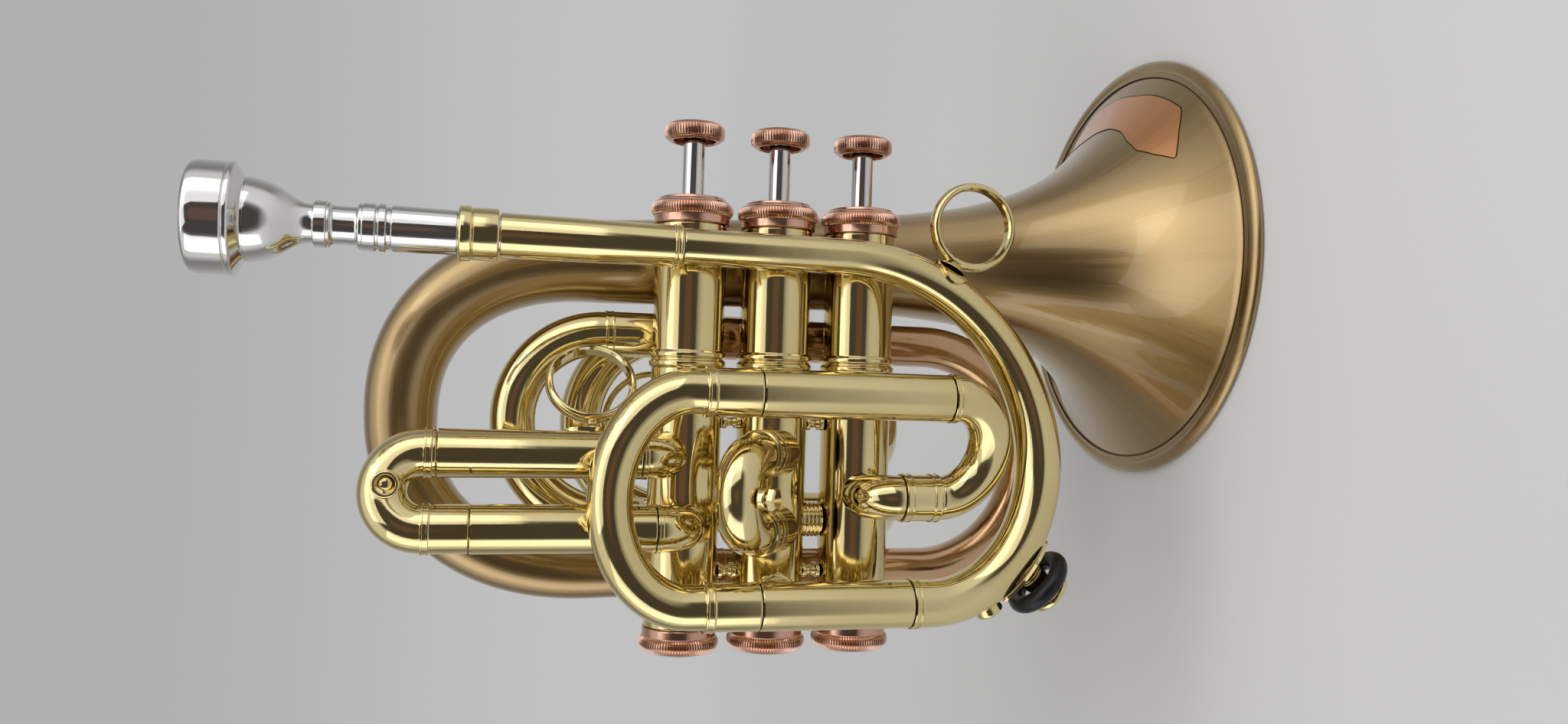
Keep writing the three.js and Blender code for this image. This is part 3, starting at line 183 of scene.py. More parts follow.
def finish_piece(name, shape, material, body, nodes, crease):
    mesh = mesh_of(name, shape)
    layer = mesh.uv_layers.new(name="along")
    indices = np.empty(len(mesh.loops), dtype=np.int64)
    mesh.loops.foreach_get("vertex_index", indices)
    layer.data.foreach_set("uv", np.array(shape.maps, dtype=np.float32)[indices].ravel())
    face_outward(mesh, WELD)
    smooth(mesh, crease)
    piece = add_object(name, mesh)
    mesh.materials.append(material)
    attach(piece, body)
    if nodes:
        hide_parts(*nodes)
    return piece


def soften(profile, size):
    """Rounds each hard corner of a profile of (distance, radius) pairs, and holds long faces flat."""
    points = [np.array(p, dtype=float) for p in profile]
    closed = np.linalg.norm(points[0] - points[-1]) < SAME_PLACE
    ring = points[:-1] if closed else points
    result = []
    for i, point in enumerate(ring):
        back = ring[i - 1] - point
        ahead = ring[(i + 1) % len(ring)] - point
        length_back, length_ahead = np.linalg.norm(back), np.linalg.norm(ahead)
        if min(length_back, length_ahead) < SAME_PLACE:
            continue
        cosine = np.dot(-back, ahead) / length_back / length_ahead
        open_end = not closed and i in (0, len(ring) - 1)
        if open_end or math.degrees(math.acos(np.clip(cosine, -1, 1))) < HARD_TURN:
            result.append(tuple(point))
            continue
        cut = min(size, CUT_SHARE * length_back, CUT_SHARE * length_ahead)
        step_back, step_ahead = unit(back) * cut, unit(ahead) * cut
        if length_back > LONG_FACE * cut:
            result.append(tuple(point + step_back * FLAT_FROM))
        for t in (0, 0.5, 1):
            round_off = (1 - t) ** 2 * step_back + t * t * step_ahead
            result.append(tuple(point + round_off))
        if length_ahead > LONG_FACE * cut:
            result.append(tuple(point + step_ahead * FLAT_FROM))
    return result + result[:1] if closed else result


def ring_faces(rows, sides, closed):
    faces = []
    count = len(rows)
    for i in range(count - 1 if not closed else count):
        a = rows[i]
        b = rows[(i + 1) % count]
        if len(a) == 1 and len(b) == 1:
            continue
        for k in range(sides):
            n = (k + 1) % sides
            if len(a) == 1:
                faces.append((a[0], b[n], b[k]))
            elif len(b) == 1:
                faces.append((a[k], a[n], b[0]))
            else:
                faces.append((a[k], a[n], b[n], b[k]))
    return faces


def revolve(profile, place, sides, modulate=None):
    """Turns a profile round; place(distance) gives the centre and the two directions across."""
    closed = profile[0] == profile[-1]
    shape = Shape()
    rows = []
    for distance, radius in profile[:-1] if closed else profile:
        centre, across, over = place(distance)
        count = sides if radius > POLE else 1
        rows.append(list(range(len(shape.verts), len(shape.verts) + count)))
        for k in range(count):
            angle = math.tau * k / sides
            reach = radius + (modulate(distance, radius, angle) if modulate else 0.0)
            aside = reach * (math.sin(angle) * across + math.cos(angle) * over)
            shape.verts.append(tuple(centre + aside if count > 1 else centre))
            shape.maps.append((k / sides, distance * MM))
    shape.faces = ring_faces(rows, sides, closed)
    return shape


def lathe(profile, origin, axis, sides=48, modulate=None, start=None):
    axis = unit(np.array(axis, dtype=float))
    guide = start if start is not None else (Y if abs(axis[1]) < 0.9 else X)
    across = unit(np.cross(guide, axis))
    over = np.cross(across, axis)
    return revolve(profile, lambda d: (origin + axis * d, across, over), sides, modulate)


def shifted(distance, radius, pairs):
    """A profile's pairs, moved on by a distance and out by a radius."""
    return [(distance + a, radius + b) for a, b in pairs]


def turned(profile, origin, axis, sides, edge):
    return lathe(soften(profile, edge), origin, axis, sides)


def along_x(profile, valve, sides=64, modulate=None, edge=0.18):
    return lathe(soften(profile, edge), vec(0, 0, valve_z(valve)), X, sides, modulate, Y)


def close_sheet(shape, rows, columns):
    """Adds the faces of two equal grids of corners, one over the other, and of their border."""
    stride = columns + 1
    size = stride * (rows + 1)
    for j in range(rows):
        for i in range(columns):
            a = j * stride + i
            b = a + size
            shape.faces.append((a, a + 1, a + stride + 1, a + stride))
            shape.faces.append((b, b + stride, b + stride + 1, b + 1))
    border = list(range(columns)) + [columns + j * stride for j in range(rows)]
    border += [rows * stride + columns - i for i in range(columns)]
    border += [(rows - j) * stride for j in range(rows)]
    for a, b in zip(border, border[1:] + border[:1]):
        shape.faces.append((a, a + size, b + size, b))
    return shape


def rod(start, end, radius, sides, edge=0.25):
    run = end - start
    length = float(np.linalg.norm(run))
    return turned([(0, 0), (0, radius), (length, radius), (length, 0)], start, run / length, sides, edge)


# Routes


class Path:
    """Points with their headings; steps is the number of rings that a tube gets along them."""

    def __init__(self, points, headings, steps=1):
        self.points = np.array(points, dtype=float)
        self.steps = steps
        self.headings = headings / np.linalg.norm(headings, axis=1)[:, None]


def line(start, end, heading=None):
    direction = heading if heading is not None else end - start
    return Path([start, end], np.array([direction, direction], dtype=float))


def arc(centre, start, quarter, sweep, steps):
    angles = np.linspace(0, sweep, 361)[:, None]
    points = centre + np.cos(angles) * start + np.sin(angles) * quarter
    return Path(points, -np.sin(angles) * start + np.cos(angles) * quarter, steps)


def half_turn(start, end, reach, steps=36):
    centre = (start + end) / 2
    return arc(centre, start - centre, reach, math.pi, steps)


def quarter_turn(start, corner, end, steps=18):
    centre = start + end - corner
    return arc(centre, start - centre, end - centre, math.pi / 2, steps)


def squared_bow(centre, start, quarter, squareness, steps=64):
    """Half of an ellipse that is drawn out towards its corners."""
    angles = (math.pi * np.linspace(0, 1, 721))[:, None]
    power = 2 / squareness
    across = np.sign(np.cos(angles)) * np.abs(np.cos(angles)) ** power
    points = centre + across * start + np.abs(np.sin(angles)) ** power * quarter
    headings = np.gradient(points, axis=0)
    headings[0] = quarter
    headings[-1] = -quarter
    return Path(points, headings, steps)


class Route:
    """Paths joined end to end; marks are the distances at which a tube gets a ring."""

    def __init__(self, *paths):
        distances = []
        self.lengths = []
        self.marks = [0.0]
        total = 0.0
        for path in paths:
            steps = np.linalg.norm(np.diff(path.points, axis=0), axis=1)
            local = np.concatenate([[0.0], np.cumsum(steps)])
            distances.append(local + total)
            length = float(local[-1])
            self.lengths.append(length)
            self.marks.extend([total + length * i / path.steps for i in range(1, path.steps + 1)])
            total += length
        self.length = total
        self.points = np.concatenate([path.points for path in paths])
        self.headings = np.concatenate([path.headings for path in paths])
        self.distances = np.concatenate(distances)
        # Equal distances at the joints of two paths would confuse the interpolation.
        for i in range(1, len(self.distances)):
            if self.distances[i] <= self.distances[i - 1]:
                self.distances[i] = self.distances[i - 1] + 1e-7

    def at(self, distance):
        centre, heading = (
            np.array([np.interp(distance, self.distances, rows[:, k]) for k in range(3)])
            for rows in (self.points, self.headings)
        )
        return centre, unit(heading)

    def place(self, side):
        def frame_of(distance):
            centre, heading = self.at(distance)
            across = unit(np.cross(side, heading))
            return centre, across, np.cross(across, heading)

        return frame_of


def outside_profile(marks, radius_at, rings):
    wanted = sorted(set(marks) | {r[0] for r in rings} | {r[1] for r in rings})
    breaks = [wanted[0]] + [b for a, b in zip(wanted, wanted[1:]) if b - a > 1e-5]

    def value(distance):
        for low, high, radius in rings:
            if low < distance < high:
                return radius
        return radius_at(distance)

    points = []
    for low, high in zip(breaks, breaks[1:]):
        nudge = (high - low) / 1000
        for mark, radius in ((low, value(low + nudge)), (high, value(high - nudge))):
            if points and abs(points[-1][0] - mark) < 1e-9 and abs(points[-1][1] - radius) < 0.01:
                continue
            points.append((mark, radius))
    return points


def tube(route, side, radius_at, wall=TUBE_WALL, rings=(), sides=48, edge=0.22):
    outside = outside_profile(route.marks, radius_at, list(rings))
    bore = [(mark, radius_at(mark) - wall) for mark in reversed(route.marks)]
    profile = soften(outside + bore + [outside[0]], edge)
    return revolve(profile, route.place(side), sides)


def straight_tube(start, end, radius, bore, rings=(), sides=48):
    side = X if abs(unit(end - start)[1]) > 0.9 else Y
    return tube(Route(line(start, end)), side, lambda d: radius, radius - bore, rings, sides)


def plain_outer(start, end, radius):
    return straight_tube(start, end, radius, radius - TUBE_WALL, sides=TUBE_SIDES)


def ferrule(low, high, radius):
    """A slide ferrule: a band with a fine bead at each end."""
    bead = min(FERRULE_BEAD, (high - low) / 3)
    groove = (low + bead, high - bead, radius - FERRULE_GROOVE)
    return [(low, low + bead, radius), groove, (high - bead, high, radius)]


def slide_tube(a, b, reach, side, outer, sleeves, ferrule_width, bow_radius):
    """a and b hold leg end, seam and bow start of each arm; sleeves are the lengths beyond the seams."""
    route = Route(line(a[0], a[2]), half_turn(a[2], b[2], reach, TUBE_SEGMENTS), line(b[2], b[0]))
    near = float(np.linalg.norm(a[0] - a[1]))
    far = route.length - float(np.linalg.norm(b[0] - b[1]))
    radius = outer - TUBE_WALL - SLIDE_GAP
    band = outer + FERRULE_RISE
    start = near + sleeves[0]
    end = far - sleeves[1]
    rings = [(near, start, outer - SLEEVE_STEP)] + ferrule(start, start + ferrule_width, band)
    rings += ferrule(end - ferrule_width, end, band) + [(end, far, outer - SLEEVE_STEP)]

    def at(distance):
        return radius if distance < near or distance > far else bow_radius

    return tube(route, side, at, bow_radius - radius + TUBE_WALL, rings, TUBE_SIDES)


# Materials


def fill_sockets(tree, node, sockets):
    """Links each named socket to an output, or sets its value."""
    for name, given in sockets.items():
        if isinstance(given, bpy.types.NodeSocket):
            tree.links.new(given, node.inputs[name])
        else:
            node.inputs[name].default_value = given
    return node


def add_node(tree, kind, sockets, operation=None):
    made = tree.nodes.new(kind)
    if operation:
        made.operation = operation
    return fill_sockets(tree, made, sockets)


def fill_ramp(ramp, stops):
    while len(ramp.elements) < len(stops):
        ramp.elements.new(0.5)
    for element, (position, colour) in zip(ramp.elements, stops):
        element.position = position
        element.color = (*colour, 1.0)


class Nodes:
    """The nodes of one material."""

    def __init__(self, name):
        self.material = bpy.data.materials.new(name)
        self.material.use_nodes = True
        self.tree = self.material.node_tree
        self.shader = next(n for n in self.tree.nodes if n.type == "BSDF_PRINCIPLED")
        self.coord = self.tree.nodes.new("ShaderNodeTexCoord")
        self.place = self.coord.outputs["Object"]

    def shade(self, sockets):
        fill_sockets(self.tree, self.shader, sockets)
        return self.material

    def noise(self, scale, detail=3.0, rough=0.55, vector=None):
        sockets = {"Scale": scale, "Detail": detail, "Roughness": rough, "Vector": vector or self.place}
        return add_node(self.tree, "ShaderNodeTexNoise", sockets).outputs["Fac"]

    def streaks(self, stretch, detail, rough=0.55):
        """Noise over the map of angle and distance, stretched along one of the two."""
        sockets = {"Scale": stretch, "Vector": self.coord.outputs["UV"]}
        mapping = add_node(self.tree, "ShaderNodeMapping", sockets)
        return self.noise(1.0, detail, rough, mapping.outputs["Vector"])

    def span(self, value, low, high, from_low=0.3, from_high=0.7):
        sockets = {"From Min": from_low, "From Max": from_high, "To Min": low, "To Max": high, "Value": value}
        return add_node(self.tree, "ShaderNodeMapRange", sockets).outputs["Result"]

    def ramp(self, value, stops):
        made = add_node(self.tree, "ShaderNodeValToRGB", {"Fac": value})
        fill_ramp(made.color_ramp, stops)
        return made.outputs["Color"]

    def tones(self, value, dark, light, low=0.3, high=0.7):
        return self.ramp(value, [(low, dark), (high, light)])

    def bump(self, height, strength, distance):
        sockets = {"Strength": strength, "Distance": distance, "Height": height}
        return add_node(self.tree, "ShaderNodeBump", sockets).outputs["Normal"]

    def add(self, a, b, weight=0.5):
        return add_node(self.tree, "ShaderNodeMath", {0: b, 1: weight, 2: a}, "MULTIPLY_ADD").outputs[0]


def polished(name, light, dark, rough=(0.05, 0.12), bump=0.03):
    """Bright lacquered or plated metal with faint handling marks and a soft unevenness."""
    m = Nodes(name)
    ripple = m.add(m.noise(170.0, 1.0), m.noise(2600.0, 3.0), 0.12)
    return m.shade({
        "Base Color": m.tones(m.noise(38.0, 2.0), dark, light, 0.25, 0.75),
        "Roughness": m.span(m.noise(120.0, 5.0, 0.65), *rough),
        "Metallic": 1.0,
        "Normal": m.bump(ripple, bump, 0.0006),
    })


def brushed(name, colours, rough, fine_scale, broad_scale, strength=0.22):
    """Brushed metal under clear lacquer; the scales stretch the streaks round the tube or along it."""
    m = Nodes(name)
    fine = m.streaks(fine_scale, 4.0, 0.7)
    broad = m.streaks(broad_scale, 3.0)
    tone = m.add(m.add(m.noise(16.0, 2.0), broad, 0.35), fine, 0.22)
    return m.shade({
        "Base Color": m.ramp(tone, list(zip((0.45, 0.75, 1.0), colours))),
        "Roughness": m.span(m.add(fine, broad), *rough, 0.45, 1.05),
        "Metallic": 1.0,
        "Coat Weight": 1.0,
        "Coat Roughness": 0.04,
        "Normal": m.bump(fine, strength, 0.00008),
    })


def rubber_material():
    m = Nodes("black_rubber")
    return m.shade({
        "Base Color": m.tones(m.noise(90.0), (0.004, 0.004, 0.005), (0.011, 0.011, 0.012)),
        "Roughness": m.span(m.noise(400.0, 4.0), 0.22, 0.42),
        "Specular IOR Level": 0.3,
        "Normal": m.bump(m.noise(1500.0, 3.0), 0.15, 0.0002),
    })


def felt_material():
    m = Nodes("felt")
    return m.shade({
        "Base Color": m.tones(m.noise(900.0, 5.0), (0.09, 0.02, 0.014), (0.22, 0.055, 0.04)),
        "Roughness": 0.95,
        "Sheen Weight": 0.4,
        "Normal": m.bump(m.noise(3500.0, 4.0), 0.8, 0.0003),
    })


def plastic_material():
    m = Nodes("plastic")
    return m.shade({
        "Base Color": m.tones(m.noise(200.0), (0.74, 0.71, 0.64), (0.82, 0.8, 0.74)),
        "Roughness": m.span(m.noise(700.0), 0.4, 0.55),
    })


LENGTHWISE = ((420.0, 22.0, 1.0), (46.0, 6.0, 1.0))
AROUND = ((4.0, 260.0, 1.0), (3.0, 18.0, 1.0))
SATIN = (0.24, 0.36)
BELL_TONES = [(0.275, 0.172, 0.066), (0.365, 0.24, 0.098), (0.44, 0.30, 0.132)]
ROSE_TONES = [(0.38, 0.20, 0.09), (0.52, 0.31, 0.155), (0.60, 0.38, 0.21)]
PATCH_TONES = [(0.57, 0.20, 0.058), (0.74, 0.30, 0.105), (0.84, 0.385, 0.155)]

LACQUER = polished("lacquered_brass", (0.78, 0.66, 0.35), (0.70, 0.57, 0.275))
BELL = brushed("brushed_brass", BELL_TONES, SATIN, *LENGTHWISE)
ROSE = brushed("rose_brass", ROSE_TONES, (0.12, 0.24), *AROUND, 0.08)
COPPER = polished("copper_plate", (0.72, 0.44, 0.33), (0.60, 0.345, 0.25), (0.14, 0.26), 0.05)
PATCH = brushed("patch_copper", PATCH_TONES, SATIN, *LENGTHWISE)
# Painted shade: a dark brown that stands for the shade in the rim's groove and at the edge of the copper
# overlay.
SHADOW = polished("painted_shade_edge", (0.10, 0.06, 0.03), (0.05, 0.03, 0.015), (0.4, 0.6), 0.1)
SILVER = polished("silver_plate", (0.755, 0.745, 0.73), (0.66, 0.65, 0.64), bump=0.02)
STEEL = polished("steel", (0.60, 0.61, 0.63), (0.48, 0.49, 0.51), (0.2, 0.35), 0.05)
RUBBER = rubber_material()
FELT = felt_material()
PLASTIC = plastic_material()


def piece(name, shape, material, node=None, body="horn", crease=CREASE):
    return finish_piece(name, shape, material, body, [node] if node else [], crease)


def brass(name, shape, node=None, body="horn", crease=CREASE):
    """A lacquered piece, which stands for the solid of its own name unless another is given."""
    return piece(f"{name}_polished", shape, LACQUER, node or name, body, crease)


# Valves

BEAD_X = 4.0
CAP_BAND_R = 10.35
CAP_BAND = 2.4
KNURL_R = 11.27
KNURL = 2.8
DOME = 1.7
CAP_TOP = CASING_HIGH + SEAT_GAP + CAP_BAND + KNURL + DOME
CAP_ROOF = 2.5
CAP_INSIDE = NECK_R + SEAT_GAP
LOW_KNURL_R = 10.8
LOW_KNURL = 2.9
LOW_DOME = 2.2
CAP_FLOOR = 2.4
TRAVEL = 15.0
STEM_R = 3.0
STEM_HOLE = STEM_R + 0.5
FELT_R = 4.15
FELT_H = 1.4
FELT_DEPTH = 1.0
BUTTON_R = 8.26
BUTTON_H = 4.8
BUTTON_HOLLOW = 5.8
BUTTON_ROOF = 1.7
BUTTON_TOP = CAP_TOP + FELT_H - FELT_DEPTH + 2 * SEAT_GAP + TRAVEL + BUTTON_H
PISTON_TOP = CAP_TOP - CAP_ROOF - SEAT_GAP
PISTON_LOW = -50.9
PISTON_R = CASING_BORE - 0.35
BARREL_WALL = 1.1
BARREL_DEPTH = 43.0
SPRING_R = 5.1
SPRING_WIRE = 0.5
SPRING_TURNS = 5
PORT_R = 4.4
GUIDE_X = 5.0
GUIDE_H = 3.0
GUIDE_W = 3.0
CASING_SINK = 8.6
KNUCKLES = (-25.0, -33.0)
KNUCKLE_DROP = 4.0
KNUCKLE_R = 4.5
KNUCKLE_END = 9.9
KNUCKLE_BEADS = (-1.7, -0.55, 0.6, 1.75)
LINKS = (-10.4, -51.2)
TOP_TEETH = 92
LOW_TEETH = 90
BUTTON_TEETH = 66
TOOTH_DEPTH = 0.32
BUTTON_TOOTH_DEPTH = 0.28
LINK_SINK = 0.25
LINK_Y = 1.2
LINK_SPACE = 3.0


def casing(valve):
    low = CASING_LOW - NECK_LOW
    high = CASING_HIGH + NECK_HIGH
    beads = [(-0.2, 0), (0, 0.2), (0.55, 0.68), (1.6, 0.72), (2.1, 0.12), (2.45, 0.12), (2.95, 0.7),
             (4.0, 0.66), (4.5, 0.1), (4.7, -0.05)]
    profile = [(low, NECK_R), (CASING_LOW, NECK_R), (CASING_LOW, CASING_R)] + shifted(BEAD_X, CASING_R, beads)
    profile += [(CASING_HIGH, CASING_R - 0.05), (CASING_HIGH, NECK_R), (high, NECK_R), (high, CASING_BORE),
                (low, CASING_BORE), (low, NECK_R)]
    return along_x(profile, valve, 72, edge=0.16)


def link(valve, height):
    """Two small turned ties between two casings, each with two collars and a notched middle."""
    toward = 1 if valve == 0 else -1
    start = vec(height, -LINK_Y, toward * (CASING_R - LINK_SINK))
    span = PITCH - 2 * (CASING_R - LINK_SINK) - SEAT_GAP - 0.15
    half = [(0, 0), (0, 1.9), (1.0, 1.9), (1.25, 1.25), (span / 2 - 0.35, 1.15)]
    profile = half + [(span / 2, 0.75)] + [(span - a, r) for a, r in reversed(half)]
    shape = turned(profile, start, Z * toward, 20, 0.12)
    return shape.join(turned(profile, start + Y * LINK_SPACE, Z * toward, 20, 0.12))


def knuckle(valve):
    """The short beaded tube that carries air from one casing to the next."""
    toward = 1 if valve == 0 else -1
    start = vec(KNUCKLES[0 if valve == 0 else 1] - KNUCKLE_DROP, 0, toward * CASING_SINK)
    span = PITCH - CASING_SINK - KNUCKLE_END
    profile = [(0, 0), (0, KNUCKLE_R)]
    for bead in KNUCKLE_BEADS:
        profile += shifted(span * 0.55 + bead, KNUCKLE_R, [(-0.4, 0), (-0.25, 0.45), (0.2, 0.45), (0.35, 0)])
    return turned(profile + [(span, KNUCKLE_R), (span, 0)], start, Z * toward, 40, 0.1)


def teeth(count, depth, low, high, least):
    """Straight knurling on one band of a turned piece, three corners to a tooth."""
    def cut(distance, radius, angle):
        if not low <= distance <= high or radius < least:
            return 0.0
        phase = (angle * count / (2 * math.pi)) % 1.0
        return -depth if min(phase, 1 - phase) < 0.1 else 0.0
    return cut


def knurled(profile, valve, count, depth, low, high, least):
    return along_x(profile, valve, count * 3, teeth(count, depth, low, high, least), edge=0.1)


def top_cap(valve):
    low = CASING_HIGH + SEAT_GAP
    knurl = low + CAP_BAND
    floor = CAP_TOP - FELT_DEPTH
    roof = CAP_TOP - CAP_ROOF
    profile = [(low, CAP_INSIDE)]
    profile += shifted(low, CAP_BAND_R, [(0, -0.15), (0.2, 0.05), (0.45, 0)])
    profile += shifted(knurl, CAP_BAND_R, [(-0.2, 0), (-0.1, 0.2)])
    profile += shifted(knurl, KNURL_R, [(0.2, -0.55), (0.8, -0.12), (1.4, 0), (2.1, -0.08), (2.8, -0.36),
                                        (3.3, -0.75), (3.4, -1.1), (3.8, -1.3), (4.05, -1.75)])
    profile += shifted(CAP_TOP, KNURL_R, [(-0.35, -1.85), (-0.3, -2.15), (0.25, -2.3), (0.4, -2.6)])
    profile += shifted(CAP_TOP, FELT_R + SEAT_GAP, [(0.4, 1.4), (-0.2, 1.1), (-0.2, 0), (-FELT_DEPTH, 0)])
    profile += [(floor, STEM_HOLE), (roof, STEM_HOLE), (roof, CAP_INSIDE), (low, CAP_INSIDE)]
    return knurled(profile, valve, TOP_TEETH, TOOTH_DEPTH, knurl + 0.15, knurl + 3.35, KNURL_R - 1.0)


def bottom_cap(valve):
    high = CASING_LOW - SEAT_GAP
    band = high - CAP_BAND
    low = band - LOW_KNURL - LOW_DOME
    r = LOW_KNURL_R
    profile = shifted(low, 0, [(0, 0), (0, 2.2), (0.1, 5.0), (0.35, 7.2), (0.7, 8.5), (1.0, 9.1)])
    profile += shifted(low, r, [(1.1, -1.3), (1.3, -1.0), (1.8, -0.5), (2.5, -0.12), (3.2, 0), (3.9, -0.1),
                                (4.5, -0.4), (4.9, -0.75)])
    profile += shifted(band, r, [(0, -0.9), (0.15, -0.8)]) + shifted(high, r, [(-0.3, -0.75), (0, -0.9)])
    profile += [(high, CAP_INSIDE), (low + CAP_FLOOR, CAP_INSIDE), (low + CAP_FLOOR, 0)]
    return knurled(profile, valve, LOW_TEETH, TOOTH_DEPTH, low + 1.25, low + 4.95, r - 1.1)


def button(valve):
    low = BUTTON_TOP - BUTTON_H
    roof = BUTTON_TOP - BUTTON_ROOF
    r = BUTTON_R
    profile = [(roof, 0), (roof, BUTTON_HOLLOW), (low + 0.3, BUTTON_HOLLOW), (low, BUTTON_HOLLOW + 0.35)]
    profile += shifted(low, r, [(0, -1.6), (0.25, -1.1), (0.7, -0.6), (0.8, -0.32), (1.4, -0.06), (2.2, 0),
                                (3.1, -0.02), (3.8, -0.2), (4.2, -0.5), (4.3, -0.8)])
    profile += shifted(BUTTON_TOP, r, [(-0.1, -1.15), (0, -1.45), (-0.05, -2.1), (-0.3, -2.5)])
    profile += shifted(BUTTON_TOP, 0, [(-0.4, 3.0), (-0.4, 0)])
    return knurled(profile, valve, BUTTON_TEETH, BUTTON_TOOTH_DEPTH, low + 0.78, low + 4.22, r - 0.7)


def felt_ring(valve):
    base = CAP_TOP - FELT_DEPTH + SEAT_GAP
    top = base + FELT_H
    return along_x([(base, STEM_HOLE), (base, FELT_R), (top, FELT_R), (top, STEM_HOLE), (base, STEM_HOLE)],
                   valve, 40, edge=0.3)


def cut_away(target, shapes):
    """Cuts real passages out of a piece and leaves a plain mesh."""
    cutters = []
    for shape in shapes:
        mesh = mesh_of("cutter", shape)
        face_outward(mesh)
        cutters.append(add_object("cutter", mesh))
    for cutter in cutters:
        modifier = target.modifiers.new("passage", "BOOLEAN")
        modifier.operation = "DIFFERENCE"
        modifier.solver = "EXACT"
        modifier.object = cutter
    bpy.context.view_layer.update()
    graph = bpy.context.evaluated_depsgraph_get()
    mesh = bpy.data.meshes.new_from_object(target.evaluated_get(graph))
    target.modifiers.clear()
    old = target.data
    target.data = mesh
    bpy.data.meshes.remove(old)
    for cutter in cutters:
        bpy.data.objects.remove(cutter, do_unlink=True)
    smooth(mesh, CREASE)


def block(low, high):
    corners = [(x, y, z) for x in (low[0], high[0]) for y in (low[1], high[1]) for z in (low[2], high[2])]
    faces = [(0, 1, 3, 2), (4, 6, 7, 5), (0, 4, 5, 1), (2, 3, 7, 6), (0, 2, 6, 4), (1, 5, 7, 3)]
    return Shape().add(corners, faces)


def piston(valve):
    z = valve_z(valve)
    n = valve + 1
    top = PISTON_TOP
    stem_end = BUTTON_TOP - BUTTON_ROOF - SEAT_GAP
    profile = [
        (PISTON_LOW, 0), (PISTON_LOW, PISTON_R - 0.3), (PISTON_LOW + 0.3, PISTON_R),
        (top - 0.3, PISTON_R), (top, PISTON_R - 0.3), (top, STEM_R), (stem_end, STEM_R), (stem_end, 0),
    ]
    shape = along_x(profile, valve, 56, edge=0.2)
    made = piece(f"piston_{n}_plated", shape, SILVER, f"piston_{n}", f"valve_{n}")
    bore = CASING_BORE
    barrel = (vec(top - BARREL_DEPTH, 0, z), vec(top - 2 * BARREL_WALL, 0, z))
    rest = KNUCKLES[1]
    cross = rest + TRAVEL
    half = GUIDE_W / 2 + SEAT_GAP
    cut_away(made, [
        rod(*barrel, PISTON_R - BARREL_WALL, 40, 0.01),
        block((GUIDE_X - SEAT_GAP, -bore, z - half), (GUIDE_X + GUIDE_H + TRAVEL + SEAT_GAP, bore, z + half)),
        rod(vec(rest, 0, z - bore), vec(rest, 0, z + bore), PORT_R, 36, 0.01),
        rod(vec(cross, -bore, z), vec(cross, bore, z), PORT_R, 36, 0.01),
    ])


def spring(valve):
    """A coil of wire between guide and piston."""
    n = valve + 1
    foot = GUIDE_X + GUIDE_H
    low = foot + SPRING_WIRE + SEAT_GAP
    high = PISTON_TOP - 2 * BARREL_WALL - SPRING_WIRE - SEAT_GAP
    steps = SPRING_TURNS * 36
    turn = np.linspace(0, SPRING_TURNS * math.tau, steps + 1)[:, None]
    points = vec(0, 0, valve_z(valve)) + SPRING_R * (np.cos(turn) * Y + np.sin(turn) * Z)
    points = points + X * (low + (high - low) * turn / turn[-1])
    headings = X * (high - low) / turn[-1] + SPRING_R * (np.cos(turn) * Z - np.sin(turn) * Y)
    route = Route(Path(points, headings, steps))
    profile = [(0, 0)] + [(mark, SPRING_WIRE) for mark in route.marks] + [(route.length, 0)]
    made = piece(f"valve_spring_{n}_wire", revolve(profile, route.place(X), 12), STEEL, f"valve_spring_{n}")
    anchor = packed(vec(foot, 0, valve_z(valve)))
    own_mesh(made)


def make_valves():
    for valve in range(3):
        n = valve + 1
        shape = casing(valve)
        if valve == 1:
            for other in (0, 2):
                shape.join(knuckle(other))
                for height in LINKS:
                    shape.join(link(other, height))
        brass(f"casing_{n}", shape, f"valve_casing_{n}")
        piece(f"top_cap_{n}_knurled", top_cap(valve), COPPER, f"top_cap_{n}")
        piece(f"bottom_cap_{n}_knurled", bottom_cap(valve), COPPER, f"bottom_cap_{n}")
        piece(f"cap_felt_{n}_soft", felt_ring(valve), FELT, f"cap_felt_{n}")
        piece(f"button_{n}_knurled", button(valve), COPPER, f"finger_button_{n}", f"valve_{n}")
        piston(valve)
        spring(valve)


# Bell and tail

BELL_X_RIM = 42.0
RIM_ROLL = 2.1
RIM_ROLL_T = 1.25
RIM_LEAN = math.radians(26)
RIM_GROOVE = 2.7
BELL_SIDES = 128

# The copper overlay: degrees round the bell, and its edges as distances from the rim.
PATCH_MIDDLE = -10
PATCH_HALF = 43
PATCH_ROWS = 14
PATCH_COLUMNS = 72
PATCH_SPREAD = 1.1
PATCH_MAP = 0.0104
PATCH_DEPTH = 0.3
PATCH_LOW = ([0, 10, 27, 35, 43, 48], [6.3, 5.9, 5.5, 8.2, 10.4, 11.8])
PATCH_HIGH = ([0, 10, 19, 28, 36, 43, 48], [13.7, 14.2, 15.4, 15.5, 13.4, 10.8, 9.4])

BELL_X_BOW = 34.3
BOW_START = 46.0
THROAT_R = 15.5
THROAT_TAPER = 0.02
FLARE = 25.0
BELL_WALL = 0.8
BELL_REACH = 53.4
SQUARENESS = 2.25
BELL_END_R = 6.45
BELL_END = 12.0
TAIL_R = 6.15
TAIL_TOP = 13.1
TAIL_LOW = -54.0
TAIL_BOW = -51.0
TAIL_END = 31.0
CROOK_R = 6.2
SLEEVE = 14.2
SLEEVE_BAND = 2.6
CROOK_LOW = -39.3
CROOK_DROP = 3.4
CROOK_PORT = 30.3
ELBOW_BEND = 6.3


def bell_route():
    top = vec(BELL_X_BOW, BELL_Y, BOW_START)
    low, end = upright(TAIL_LOW, TAIL_Y, BOW_START, BELL_END)
    centre = (top + low) / 2
    bow = squared_bow(centre, top - centre, Z * BELL_REACH, SQUARENESS)
    return Route(line(vec(BELL_X_RIM, BELL_Y, RIM_Z), top, Z), bow, line(low, end))


